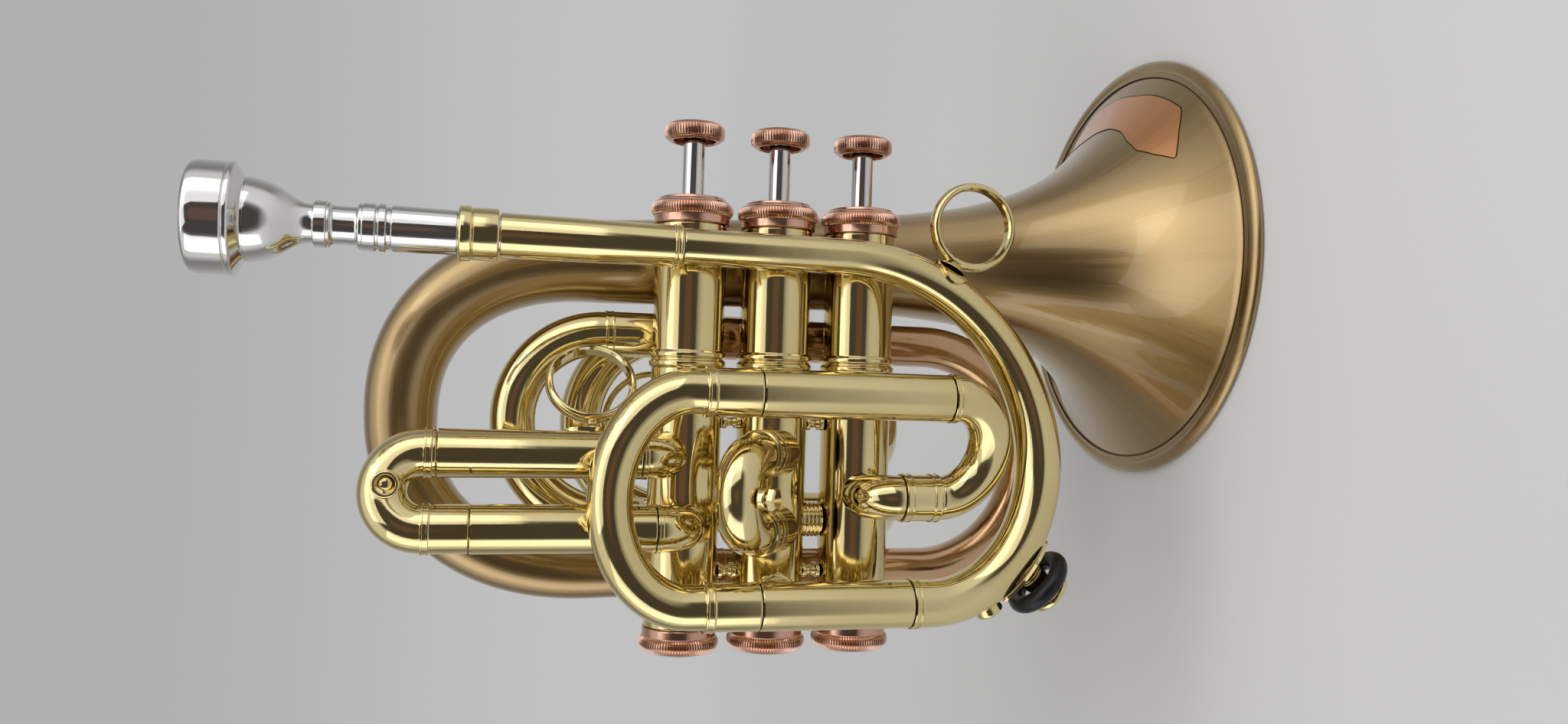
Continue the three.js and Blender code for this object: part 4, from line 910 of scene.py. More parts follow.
def flare_radius(distance):
    return THROAT_R - THROAT_TAPER * distance + (RIM_R - THROAT_R) * math.exp(-distance / FLARE)


def bell_radius(route):
    throat = route.lengths[0]

    def radius(distance):
        if distance <= throat:
            return flare_radius(distance)
        share = (distance - throat) / (route.length - throat)
        return flare_radius(throat) * (1 - share) + BELL_END_R * share

    return radius


def bell():
    route = bell_route()
    radius = bell_radius(route)
    throat = route.lengths[0]
    flare = [throat * (i / 60) ** 2 for i in range(1, 60)]
    marks = [1.7] + [m for m in flare if m > 1.9] + [m for m in route.marks if m > throat - 1e-6]
    outside = [(RIM_GROOVE, radius(RIM_GROOVE) - 0.3)]
    outside += [(m, radius(m)) for m in marks if m > RIM_GROOVE + 0.2]
    inside = [(m, radius(m) - BELL_WALL) for m in reversed(marks)]
    along = np.array([-math.sin(RIM_LEAN), math.cos(RIM_LEAN)])
    across = np.array([math.cos(RIM_LEAN), math.sin(RIM_LEAN)])
    reach = np.hypot(RIM_ROLL * along, RIM_ROLL_T * across)
    middle = np.array([reach[0], RIM_R - reach[1]])
    roll = [tuple(middle + along * RIM_ROLL * math.sin(turn) - across * RIM_ROLL_T * math.cos(turn))
            for turn in np.radians(range(-50, 261, 10))]
    profile = roll + outside + inside + [roll[0]]
    return revolve(profile, route.place(Y), BELL_SIDES)


def rim_line():
    """A thin dark ring of painted shade in the groove beside the rolled rim."""
    turns = [math.tau * i / 12 for i in range(13)]
    radius = flare_radius(RIM_GROOVE)
    profile = [(RIM_GROOVE + 0.02 - 0.3 * math.cos(t), radius + 0.16 * math.sin(t)) for t in turns]
    return revolve(profile, bell_route().place(Y), BELL_SIDES)


def patch_layer(grow, lift):
    """Rows of points over the overlay's outline: grow widens it, lift raises it off the flare."""
    route = bell_route()
    points = []
    for j in range(PATCH_ROWS + 1):
        for i in range(PATCH_COLUMNS + 1):
            across = 2 * i / PATCH_COLUMNS - 1
            half = PATCH_HALF + grow * PATCH_SPREAD
            aside = abs(across) * half
            low = np.interp(aside, *PATCH_LOW) - grow
            high = np.interp(aside, *PATCH_HIGH) + grow
            distance = low + (high - low) * j / PATCH_ROWS
            angle = math.radians(PATCH_MIDDLE + across * half)
            centre, _ = route.at(distance)
            radius = flare_radius(distance)
            slope = (flare_radius(distance + 0.1) - radius) / 0.1
            out = np.array([math.cos(angle), math.sin(angle), 0.0])
            spot = centre + radius * out + unit(out - Z * slope) * lift
            points.append((tuple(spot), (across * half / 360, j / PATCH_ROWS * PATCH_MAP)))
    return points


def bell_patch(grow, lift):
    """A thin closed sheet on the flare, near the rim."""
    shape = Shape()
    for points in (patch_layer(grow, lift), patch_layer(grow, -PATCH_DEPTH)):
        shape.add([spot for spot, _ in points], [], [uv for _, uv in points])
    return close_sheet(shape, PATCH_ROWS, PATCH_COLUMNS)


def tail():
    start, low = upright(TAIL_LOW, TAIL_Y, BELL_END - SEAT_GAP, TAIL_BOW)
    high, end = upright(TAIL_TOP, TAIL_Y, TAIL_BOW, TAIL_END)
    bow = half_turn(low, high, Z * (TAIL_LOW - TAIL_TOP) / 2, 60)
    route = Route(line(start, low), bow, line(high, end))
    return tube(route, Y, lambda d: TAIL_R, rings=ferrule(0, 2.8, TAIL_R + FERRULE_RISE))


def tail_crook():
    start, high = upright(TAIL_TOP, TAIL_Y, TAIL_END + SEAT_GAP, TAIL_END + SLEEVE)
    levels = (TAIL_END + SLEEVE - CROOK_DROP, CROOK_PORT + ELBOW_BEND, CROOK_PORT)
    low, turn, corner = upright(CROOK_LOW, TAIL_Y, *levels)
    bow = half_turn(high, low, Z * (TAIL_TOP - CROOK_LOW) / 2, 48)
    band = SLEEVE - SLEEVE_BAND
    rings = [(0, band, CROOK_R + 0.2)] + ferrule(band, SLEEVE - SEAT_GAP, CROOK_R + 0.45)
    route = Route(line(start, high), bow, line(low, turn + Z * SEAT_GAP))
    port = corner - Y * ELBOW_BEND
    elbow = Route(quarter_turn(turn, corner, port), line(port, vec(CROOK_LOW, CASING_BORE, CROOK_PORT)))
    return tube(route, Y, lambda d: CROOK_R, rings=rings), tube(elbow, X, lambda d: CROOK_R)


def make_bell():
    piece("bell_brushed", bell(), BELL, "bell", crease=40)
    # A thin ring of painted shade in the groove beside the rolled rim.
    piece("bell_rim_line", rim_line(), SHADOW)
    piece("bell_patch_plain", bell_patch(0.0, 0.2), PATCH)
    # A slightly wider dark sheet under the overlay, which shows round its edge as a thin line of painted
    # shade.
    piece("bell_patch_line", bell_patch(0.22, 0.1), SHADOW)
    piece("bell_tail_polished", tail(), ROSE, "bell_tail")
    for name, shape in zip(("tail_crook", "tail_port"), tail_crook()):
        brass(name, shape)


# Mouthpiece and leadpipe

LEAD_X = 34.8
LEAD_Y = -18.5
RECEIVER_TOP = 85.5
RECEIVER_FLANGE = 3.1
RECEIVER = 10.0
RECEIVER_R = 6.5
FLANGE_R = 6.8
LEAD_R_TOP = 5.66
LEAD_R_END = 5.35
LEAD_END = 30.2
LEAD_FERRULE = 2.2
LEAD_FERRULE_R = 5.65
BOW_R_START = 4.85
BOW_R_END = 6.2
LEAD_BOW_TOP = -14.0
LEAD_BOW_REACH = 54.8
LEAD_TURN = -18.0
LEAD_TURN_REACH = 32.5
MOUTH_TOP = 145.7
CUP_R = 8.3
CUP_DEPTH = 11.0
THROAT = 1.9
SHANK_SEAT = 5.2
SHANK_TAPER = 0.035
SHANK = 22.0
SHANK_R = 5.5
TUNING_Y = -29.0
TUNING_TOP = -2.2
TUNING_LOW = -55.8
TUNING_R = 6.2
TUNING_SEAMS = (10.6, 9.4)
UPPER_END = -40.2
LOWER_END = -30.4
TUNING_SLEEVE = 11.7
TUNING_FERRULE = 2.2
TUNING_BOW = 27.2
TUNING_REACH = 20.4
TUNING_BOW_R = 5.65
TUNING_LEG = 34.0

# The two quarters of the leadpipe's loop: centre, and the half axes at their start and end.
LOOP_LOW = LEAD_BOW_TOP - LEAD_BOW_REACH + LEAD_TURN_REACH
UPPER_HALF = LEAD_X - LEAD_TURN
LOWER_HALF = LEAD_TURN - TUNING_LOW
LOOP_Y = (LEAD_Y * LOWER_HALF + TUNING_Y * UPPER_HALF) / (UPPER_HALF + LOWER_HALF)
UPPER_MIDDLE, LOWER_MIDDLE = upright(LEAD_TURN, LOOP_Y, LEAD_BOW_TOP, LOOP_LOW)
UPPER_QUARTER = (UPPER_MIDDLE, vec(UPPER_HALF, LEAD_Y - LOOP_Y, 0), -Z * LEAD_BOW_REACH)
LOWER_QUARTER = (LOWER_MIDDLE, -Z * LEAD_TURN_REACH, vec(-LOWER_HALF, TUNING_Y - LOOP_Y, 0))


def mouthpiece():
    """Rim, bowl, beaded stem and shank on the outside, then the bore and the cup."""
    seat = RECEIVER_TOP + SEAT_GAP
    end = RECEIVER_TOP - SHANK
    cup = MOUTH_TOP - CUP_DEPTH
    inner_rim = [(-2.2, -0.25), (-0.9, 0.25), (-0.25, 1.0), (0, 2.2)]
    outside = [
        (-0.08, 11.5), (-0.4, 12.35), (-1.0, 13.0), (-1.9, 13.32), (-3.2, 13.4), (-8.8, 13.4),
        (-9.1, 13.15), (-9.35, 13.5), (-10.1, 13.6), (-10.55, 13.4), (-12.1, 10.5), (-12.4, 10.0),
        (-12.7, 10.05), (-13.0, 10.2), (-14.5, 9.97), (-16.5, 9.5), (-18.2, 8.95), (-19.6, 8.3),
        (-20.8, 7.55), (-21.9, 6.75), (-22.9, 6.0), (-23.9, 5.4), (-25.0, 4.98), (-26.1, 4.75),
        (-27.1, 4.65), (-27.2, 5.35), (-27.5, 5.65), (-30.1, 5.68), (-30.25, 5.4), (-30.6, 5.4),
        (-30.75, 5.6), (-31.0, 5.5), (-31.2, 4.95), (-31.7, 4.7), (-34.2, 4.6), (-36.6, 4.66),
        (-37.1, 4.95), (-37.25, 5.5), (-37.6, 5.7), (-38.15, 5.6), (-38.35, 5.8), (-41.1, 5.85),
        (-41.3, 5.45), (-41.75, 5.45), (-41.95, 5.85), (-43.5, 5.85), (-43.7, 5.2), (-44.7, 5.2),
        (-44.85, 5.6), (-45.3, 5.66),
    ]
    profile = shifted(MOUTH_TOP, CUP_R, inner_rim) + shifted(MOUTH_TOP, 0, outside)
    profile += [(seat, SHANK_R), (seat, SHANK_SEAT), (end, SHANK_SEAT - SHANK_TAPER * SHANK), (end, 3.6)]
    profile += shifted(cup, 0, [(-8, THROAT), (-1.5, THROAT), (0, 2.6), (1.2, 4.2), (3.0, 5.9), (5.2, 7.1)])
    profile += [(MOUTH_TOP - 4.0, 7.8), profile[0]]
    return turned(profile, vec(LEAD_X, LEAD_Y, 0), Z, 96, 0.12)


def shank_bore(height):
    return SHANK_SEAT - SHANK_TAPER * (RECEIVER_TOP - height) + SEAT_GAP


def receiver():
    low = RECEIVER_TOP - RECEIVER
    foot = low + SEAT_GAP
    flange = RECEIVER_TOP - RECEIVER_FLANGE
    r = RECEIVER_R
    profile = [(foot, r - 0.35), (low + 0.6, r - 0.05), (low + 1.0, r)]
    profile += shifted(flange, r, [(-0.5, -0.02), (-0.35, -0.25), (-0.15, -0.2)])
    profile += shifted(flange, FLANGE_R, [(0.05, -0.1), (0.35, 0)])
    profile += shifted(RECEIVER_TOP, FLANGE_R, [(-0.5, 0), (0, -0.45)])
    profile += [(RECEIVER_TOP, shank_bore(RECEIVER_TOP)), (foot, shank_bore(low)), (foot, r - 0.35)]
    return turned(profile, vec(LEAD_X, LEAD_Y, 0), Z, 72, 0.12)


def leadpipe():
    top = RECEIVER_TOP - RECEIVER
    socket = RECEIVER_TOP - SHANK - 1.5
    ferrule_top = LEAD_END + LEAD_FERRULE
    bore = BOW_R_START - TUBE_WALL
    profile = [(LEAD_END, bore)]
    profile += shifted(LEAD_END, LEAD_FERRULE_R, [(0, -0.15), (0.3, 0), (0.7, 0), (0.85, -0.22)])
    profile += shifted(ferrule_top, LEAD_FERRULE_R, [(-0.75, -0.22), (-0.6, 0), (-0.1, 0)])
    profile += [(ferrule_top, LEAD_R_END), (top - 0.4, LEAD_R_TOP), (top, LEAD_R_TOP - 0.1)]
    profile += [(top, shank_bore(top)), (socket, shank_bore(socket)), (socket, bore), (LEAD_END, bore)]
    return turned(profile, vec(LEAD_X, LEAD_Y, 0), Z, 72, 0.1)


def lead_bow():
    start, high = upright(LEAD_X, LEAD_Y, LEAD_END - SEAT_GAP, LEAD_BOW_TOP)
    low, end = upright(TUNING_LOW, TUNING_Y, LOOP_LOW, LOWER_END - SEAT_GAP)
    upper = arc(*UPPER_QUARTER, math.pi / 2, 36)
    lower = arc(*LOWER_QUARTER, math.pi / 2, 30)
    route = Route(line(start, high), upper, lower, line(low, end))

    def radius(distance):
        share = min(max((distance - route.lengths[0]) / route.lengths[1], 0.0), 1.0)
        return BOW_R_START * (1 - share) + BOW_R_END * share

    rings = ferrule(route.length - TUNING_FERRULE, route.length, TUNING_R + FERRULE_RISE)
    return tube(route, Y, radius, rings=rings, sides=TUBE_SIDES)


def make_leadpipe():
    piece("mouthpiece_plated", mouthpiece(), SILVER, "mouthpiece", "mouthpiece", 38)
    brass("receiver", receiver(), "mouthpiece_receiver")
    brass("leadpipe", leadpipe())
    brass("leadpipe_bow", lead_bow())
    heights = (TUNING_TOP, TUNING_LOW)
    upper, lower = (upright(height, TUNING_Y, seam - TUNING_LEG, seam + SEAT_GAP, TUNING_BOW)
                    for height, seam in zip(heights, TUNING_SEAMS))
    sleeves = (TUNING_SLEEVE, TUNING_SLEEVE)
    shape = slide_tube(upper, lower, Z * TUNING_REACH, Y, TUNING_R, sleeves, TUNING_FERRULE, TUNING_BOW_R)
    brass("tuning_slide", shape, body="tuning_slide")
    for name, height, end, seam in zip(("upper", "lower"), heights, (UPPER_END, LOWER_END), TUNING_SEAMS):
        brass(f"tuning_tube_{name}", plain_outer(*upright(height, TUNING_Y, end, seam), TUNING_R))


# Entry to the third valve

ENTRY_X = -29.3
ENTRY_Y = -18.5
ENTRY_R = 5.9
ENTRY_REACH = 12.1
ENTRY_CROOK_END = -42.3
ENTRY_SLEEVE_END = -31.6
ENTRY_SLEEVE_R = 6.25
ENTRY_FERRULE = 2.4
ELBOW_R = 6.0


def make_entry():
    high, bend = upright(TUNING_TOP, TUNING_Y, UPPER_END - SEAT_GAP, UPPER_END - SEAT_GAP - TUNING_FERRULE)
    seats = (ENTRY_CROOK_END + SEAT_GAP, ENTRY_SLEEVE_END, ENTRY_SLEEVE_END + SEAT_GAP)
    low, start, end, turn, corner = upright(ENTRY_X, ENTRY_Y, ENTRY_CROOK_END, *seats, valve_z(2))
    route = Route(line(high, bend), half_turn(bend, low, -Z * ENTRY_REACH, TUBE_SEGMENTS))
    rings = ferrule(0, TUNING_FERRULE - SEAT_GAP, TUNING_R + FERRULE_RISE)
    brass("entry_crook", tube(route, Y, lambda d: ENTRY_R, rings=rings))

    run = end[2] - start[2]
    band = ENTRY_SLEEVE_R + FERRULE_RISE
    rings = ferrule(0, ENTRY_FERRULE, band) + ferrule(run - ENTRY_FERRULE, run, band)
    brass("entry_sleeve", straight_tube(start, end, ENTRY_SLEEVE_R, ELBOW_R - TUBE_WALL, rings))

    turn_end = corner + Y * ELBOW_BEND
    port = line(turn_end, vec(ENTRY_X, -CASING_SINK, corner[2]))
    brass("entry_elbow", tube(Route(quarter_turn(turn, corner, turn_end, 24), port), X, lambda d: ELBOW_R))


# First valve slide

FIRST_TOP = (-19.6, -9.5)
FIRST_LOW = (-38.0, -15.5)
FIRST_R = 6.2
FIRST_PORTS = (29.5, 26.1)
FIRST_NECK = 1.6
FIRST_STUB = 0.5
FIRST_PORT_Y = -7.2
FIRST_SEAM = 80.2
FIRST_SLEEVE = 9.3
FIRST_TOP_SLEEVE = 0.9
FIRST_FERRULE = 2.0
FIRST_REACH = 9.5
FIRST_BOW_R = 6.0
FIRST_LEG = 40.0
KEY_BARREL = 3.4
KEY_BORE = 2.3
KEY_RISE = 1.4
KEY_DEPTH = 5.0
KEY_BUTTON = 2.9
KEY_TRAVEL = 1.2
KEY_ABOVE = 2.0
KEY_SHORT = 1.1


def make_first_slide():
    seams = (FIRST_SEAM + FIRST_SLEEVE - FIRST_TOP_SLEEVE, FIRST_SEAM)
    legs = (FIRST_TOP, FIRST_LOW)
    for name, leg, port, seam in zip(("upper", "lower"), legs, FIRST_PORTS, seams):
        elbow_end = port + ELBOW_BEND + FIRST_NECK
        levels = (port, port + ELBOW_BEND, elbow_end, elbow_end + SEAT_GAP, seam)
        corner, turn, start, foot, end = upright(*leg, *levels)
        side = corner + Y * ELBOW_BEND
        inward = vec(leg[0], max(side[1] + FIRST_STUB, FIRST_PORT_Y), port)
        route = Route(line(start, turn), quarter_turn(turn, corner, side, 24), line(side, inward))
        rings = ferrule(0, 1.4, ELBOW_R + FERRULE_RISE)
        brass(f"first_elbow_{name}", tube(route, X, lambda d: ELBOW_R, rings=rings))
        brass(f"first_tube_{name}", plain_outer(foot, end, FIRST_R))

    bow = FIRST_SEAM + SEAT_GAP + FIRST_SLEEVE + FIRST_FERRULE
    side = unit(vec(FIRST_LOW[1] - FIRST_TOP[1], FIRST_TOP[0] - FIRST_LOW[0], 0))
    upper, lower = (upright(*leg, FIRST_SEAM - FIRST_LEG, seam + SEAT_GAP, bow)
                    for leg, seam in zip(legs, seams))
    sleeves = (FIRST_TOP_SLEEVE, FIRST_SLEEVE)
    shape = slide_tube(upper, lower, Z * FIRST_REACH, side, FIRST_R, sleeves, FIRST_FERRULE, FIRST_BOW_R)

    apex = (upper[2] + lower[2]) / 2 + X * KEY_ABOVE + Z * (FIRST_REACH - KEY_SHORT)
    front = -FIRST_BOW_R - KEY_RISE
    floor = front + KEY_DEPTH
    profile = [(1.0, 0), (1.0, KEY_BARREL)]
    profile += shifted(front, KEY_BARREL, [(0.5, 0), (0.15, -0.12), (0, -0.45)])
    profile += [(front, KEY_BORE + 0.15), (front + 0.2, KEY_BORE), (floor, KEY_BORE), (floor, 0)]
    brass("first_slide", shape.join(turned(profile, apex, Y, 48, 0.1)), body="first_slide")

    back = floor - KEY_TRAVEL - SEAT_GAP
    r = KEY_BORE - SEAT_GAP
    profile = shifted(back - KEY_BUTTON, 0, [(0, 0), (0.12, 0.8), (0.45, r - 0.5), (1.1, r)])
    profile += [(back, r), (back, 0)]
    brass("water_key", turned(profile, apex, Y, 40, 0.1), "water_key_button", "water_key")


# Second valve slide

SECOND_TOP = -18.2
SECOND_LOW = -38.4
SECOND_ANGLE = math.radians(38)
SECOND_PORT = 9.5
SECOND_R = 6.2
SECOND_LEG = 6.5
SECOND_BOW = 6.2
SECOND_BOW_R = 5.8
SECOND_SLEEVE = 2.4
SECOND_FERRULE = 1.6
SECOND_BAND = (2.9, 0.7)
SECOND_BAND_RISE = 0.12
KNOB_NECK = 1.6
KNOB_HEAD = 3.0
KNOB = 5.0
SECOND_WAY = vec(0, -math.cos(SECOND_ANGLE), math.sin(SECOND_ANGLE))


def second_points(height, *distances):
    return [vec(height, SEAT_GAP - CASING_R, 0) + SECOND_WAY * distance for distance in distances]


def make_second_slide():
    for name, height in (("upper", SECOND_TOP), ("lower", SECOND_LOW)):
        rings = ferrule(*(SECOND_PORT - back for back in SECOND_BAND), SECOND_R + SECOND_BAND_RISE)
        ends = second_points(height, 0.2, SECOND_PORT)
        brass(f"second_port_{name}", straight_tube(*ends, SECOND_R, SECOND_R - TUBE_WALL, rings))

    seam = SECOND_PORT + SEAT_GAP
    upper, lower = (second_points(height, seam - SECOND_LEG, seam, seam + SECOND_BOW)
                    for height in (SECOND_TOP, SECOND_LOW))
    reach = SECOND_WAY * (SECOND_TOP - SECOND_LOW) / 2
    side = np.cross(SECOND_WAY, X)
    sleeves = (SECOND_SLEEVE, SECOND_SLEEVE)
    shape = slide_tube(upper, lower, reach, side, SECOND_R, sleeves, SECOND_FERRULE, SECOND_BOW_R)
    brass("second_slide", shape, body="second_slide")

    apex = (upper[2] + lower[2]) / 2 + reach
    base = SECOND_BOW_R + SEAT_GAP
    foot = [(0, 0), (0, KNOB_NECK), (0.2, KNOB_HEAD - 0.5), (0.55, KNOB_HEAD - 0.3), (1.9, KNOB_HEAD - 0.3),
            (2.2, KNOB_HEAD - 0.55), (2.3, KNOB_NECK), (3.0, KNOB_NECK), (3.0, 0)]
    head = [(2.9, 0), (2.9, KNOB_HEAD - 0.3), (3.15, KNOB_HEAD), (KNOB - 0.45, KNOB_HEAD),
            (KNOB, KNOB_HEAD - 0.55), (KNOB, 0)]
    shape = turned(shifted(base, 0, foot), apex, -side, 40, 0.12)
    shape.join(lathe(shifted(base, 0, head), apex, -side, 6))
    brass("second_knob", shape, "second_slide_knob", "second_slide", 25)


# Third valve slide

THIRD_Y = 31.5
THIRD_TOP = 14.5
THIRD_LOW = -38.7
THIRD_PORT = -20.0
THIRD_PORT_Y = 7.2
THIRD_LEAN = 6.0
THIRD_BULGE = 21.0
THIRD_R = 6.1
THIRD_TUBE = -14.0
THIRD_SEAM = 11.0
THIRD_SLEEVE = 10.0
THIRD_FERRULE = 2.0
THIRD_LEG = 20.0
THIRD_BOW_R = 5.9
PULL_RING = 13.4
PULL_WIRE = 0.95


def cubic(points, steps):
    t = np.linspace(0, 1, 241)[:, None]
    a, b, c, d = points
    spots = (1 - t) ** 3 * a + 3 * t * (1 - t) ** 2 * b + 3 * t * t * (1 - t) * c + t ** 3 * d
    headings = 3 * (1 - t) ** 2 * (b - a) + 6 * t * (1 - t) * (c - b) + 3 * t * t * (d - c)
    return Path(spots, headings, steps)


def torus(centre, axis, ring_radius, wire, sides=72, around=20):
    profile = []
    for k in range(around + 1):
        angle = 2 * math.pi * (k % around) / around
        profile.append((wire * math.sin(angle), ring_radius + wire * math.cos(angle)))
    return lathe(profile, centre, axis, sides)


def make_third_slide():
    axis = valve_z(2)
    tubes = (("upper", THIRD_PORT, THIRD_TOP, vec(0.35, -0.35, -0.87)), ("lower", THIRD_LOW, THIRD_LOW, X))
    levels = (axis - THIRD_BULGE, THIRD_TUBE - SEAT_GAP, THIRD_TUBE, THIRD_SEAM)
    for name, port, height, side in tubes:
        bulge, foot, start, end = upright(height, THIRD_Y, *levels)
        first = vec(port, THIRD_PORT_Y, axis - THIRD_LEAN)
        route = Route(cubic([first, vec(port, THIRD_Y, axis - THIRD_BULGE), bulge, foot], TUBE_SEGMENTS))
        brass(f"third_elbow_{name}", tube(route, unit(side), lambda d: THIRD_R))
        brass(f"third_tube_{name}", plain_outer(start, end, THIRD_R))

    seam = THIRD_SEAM + SEAT_GAP
    bow = seam + THIRD_SLEEVE + THIRD_FERRULE
    half = (THIRD_TOP - THIRD_LOW) / 2
    upper, lower = (upright(height, THIRD_Y, seam - THIRD_LEG, seam, bow)
                    for height in (THIRD_TOP, THIRD_LOW))
    sleeves = (THIRD_SLEEVE, THIRD_SLEEVE)
    shape = slide_tube(upper, lower, Z * half, Y, THIRD_R, sleeves, THIRD_FERRULE, THIRD_BOW_R)
    brass("third_slide", shape, body="third_slide")
    middle = PULL_RING + PULL_WIRE
    apex = (upper[2] + lower[2]) / 2 + Z * half
    centre = apex - Z * (THIRD_BOW_R + SEAT_GAP + middle + PULL_WIRE)
    brass("third_ring", torus(centre, Y, middle, PULL_WIRE, 80), "third_slide_ring", "third_slide")


# Rings, spool and braces

FINGER_SIZES = (10.2, 2.1, 4.2, 3.9)
FINGER_Z = 49.8
FINGER_LEAN = math.radians(34)
FINGER_LEAF = (15, 5.6, 1.05, 0.2)
PINKY_SIZES = (10.0, 2.3, 4.2, 1.4)
PINKY_TURN = math.radians(29.5)
PINKY_LEAF = (9.6, 13.5, 0.75, 0.5)
PINKY_BEND = 53.5
SPOOL_TURN = math.radians(43.6)
SPOOL_NECK = 3.6
SPOOL = 11.0
SPOOL_DISC = 5.9
SPOOL_DISC_H = 2.2
SPOOL_LEAF = (17.4, 7.0, 0.8, 0.4)
SPOOL_BEND = 35.5
SPOOL_FOOT = 1.0
STUD_R = 3.7
STUD_TURN = 0.36
SOFT_RING = 7.5
SOFT_TUBE = 2.35
BRACE_Z = 49.6
BRACE_ROD = 1.1
BRACE_LEAF = (7.68, 4.8, 0.7, 0.3)
TIE_ROD = 2.6
TIE_FOOT = 5.4
POST_EDGE = 0.25


def band_ring(centre, axis, inner, wall, width):
    """A finger ring: nearly flat inside, well rounded outside."""
    outer = inner + wall
    half = width / 2
    profile = [(-half * 0.62, inner + 0.1), (half * 0.62, inner + 0.1)]
    for k in range(13):
        turn = math.pi * (-0.12 + 1.24 * k / 12)
        profile.append((half * math.cos(turn), outer - wall * 0.55 + wall * 0.55 * math.sin(turn)))
    profile.append(profile[0])
    return lathe(profile, centre, axis, 96)


def saddle_plate(place, radius, length, width, thickness, taper):
    """A thin plate bent over a tube, rounded off at both ends; place(t) gives centre, out and across."""
    shape = Shape()
    steps = 32
    columns = 10
    for lift in (0.0, thickness):
        for i in range(steps + 1):
            t = 2 * i / steps - 1
            reach = width / 2 * math.sqrt(max(1 - abs(t) ** 3, 0.015)) * (1 - taper * t * t)
            centre, out, across = place(t)
            for j in range(columns + 1):
                s = (2 * j / columns - 1) * reach
                angle = s / radius
                spot = centre + (out * math.cos(angle) + across * math.sin(angle)) * (radius + lift)
                shape.verts.append(tuple(spot))
                shape.maps.append((s * MM, t * length * MM / 2))
    return close_sheet(shape, steps, columns)


def straight_saddle(centre, out, radius, leaf):
    """A saddle on an upright tube; leaf holds length, width, thickness and taper."""
    return saddle_plate(lambda t: (centre + Z * (t * leaf[0] / 2), out, np.cross(out, Z)), radius, *leaf)


def bow_place(quarter, turn):
    """Middle of the tube and the way straight out, at an angle into a quarter of the leadpipe's loop."""
    centre, start, end = quarter
    offset = math.cos(turn) * start + math.sin(turn) * end
    out = offset / (start + end) ** 2 * (1, 0, 1)
    return centre + offset, unit(out)


def bow_saddle(quarter, turn, bend, radius, leaf):
    """A saddle that follows a bow of about the given bend radius."""
    return saddle_plate(lambda t: (*bow_place(quarter, turn - t * leaf[0] / bend / 2), Y), radius, *leaf)


def make_ring(name, seat, out, axis, skin, sizes, saddle, post):
    """A ring on its saddle and post; sizes holds inner radius, wall, width and the stand off the tube."""
    inner, wall, width, stand = sizes
    shape = band_ring(seat + out * (skin + stand + inner + wall), axis, inner, wall, width)
    shape.join(saddle)
    brass(name, shape.join(turned(shifted(skin, 0, post), seat, out, 36, POST_EDGE)))


def make_rings():
    out = vec(math.cos(FINGER_LEAN), math.sin(FINGER_LEAN), 0)
    axis = vec(-math.sin(FINGER_LEAN), math.cos(FINGER_LEAN), 0)
    seat = vec(*FIRST_TOP, FINGER_Z)
    post = [(0.4, 0), (0.4, 3.2), (1.1, 3.0), (1.8, 1.9), (2.6, 1.5), (4.2, 1.45), (4.7, 0)]
    saddle = straight_saddle(seat, out, FIRST_R + 0.05, FINGER_LEAF)
    make_ring("finger_ring", seat, out, axis, FIRST_R, FINGER_SIZES, saddle, post)

    seat, out = bow_place(UPPER_QUARTER, PINKY_TURN)
    skin = BOW_R_START + (BOW_R_END - BOW_R_START) * PINKY_TURN / (math.pi / 2) + SEAT_GAP
    post = [(0.3, 0), (0.3, 4.4), (0.75, 4.1), (1.3, 3.1), (2.1, 2.3), (2.7, 0)]
    saddle = bow_saddle(UPPER_QUARTER, PINKY_TURN + 0.012, PINKY_BEND, skin - 0.25, PINKY_LEAF)
    make_ring("pinky_ring", seat, out, Y, skin, PINKY_SIZES, saddle, post)


def make_spool():
    centre, out = bow_place(LOWER_QUARTER, SPOOL_TURN)
    skin = BOW_R_END + SEAT_GAP
    foot = skin + SPOOL_FOOT
    top = skin + SPOOL - 0.8
    disc = top - SPOOL_DISC_H
    profile = shifted(skin, SPOOL_NECK, [(0.3, -SPOOL_NECK), (0.3, 0.7)])
    profile += shifted(foot, SPOOL_NECK, [(0, 0.55), (0.5, 0)])
    profile += shifted(disc, SPOOL_NECK, [(-0.3, 0), (0, 0.3)])
    profile += shifted(disc, SPOOL_DISC, [(0, -0.4), (0.4, 0)])
    profile += shifted(top, SPOOL_DISC, [(-0.9, 0), (-0.35, -0.5), (0, -1.6), (0, -SPOOL_DISC)])
    shape = bow_saddle(LOWER_QUARTER, SPOOL_TURN, SPOOL_BEND, skin, SPOOL_LEAF)
    shape.join(turned(profile, centre, out, 64, POST_EDGE))
    stud = [(-2.4, -STUD_R), (-2.4, 0), (0.7, 0), (1.2, -0.45), (1.5, -1.3), (1.6, -STUD_R)]
    stud_place = bow_place(LOWER_QUARTER, SPOOL_TURN + STUD_TURN)
    shape.join(turned(shifted(skin, STUD_R, stud), *stud_place, 40, 0.2))
    brass("spool", shape, "thumb_spool")
    middle = centre + out * ((foot + skin + SPOOL - SPOOL_DISC_H) / 2 - 0.7)
    ring = torus(middle, out, SOFT_RING, SOFT_TUBE, 80, 28)
    piece("spool_ring_soft", ring, RUBBER, "thumb_spool_ring", crease=60)


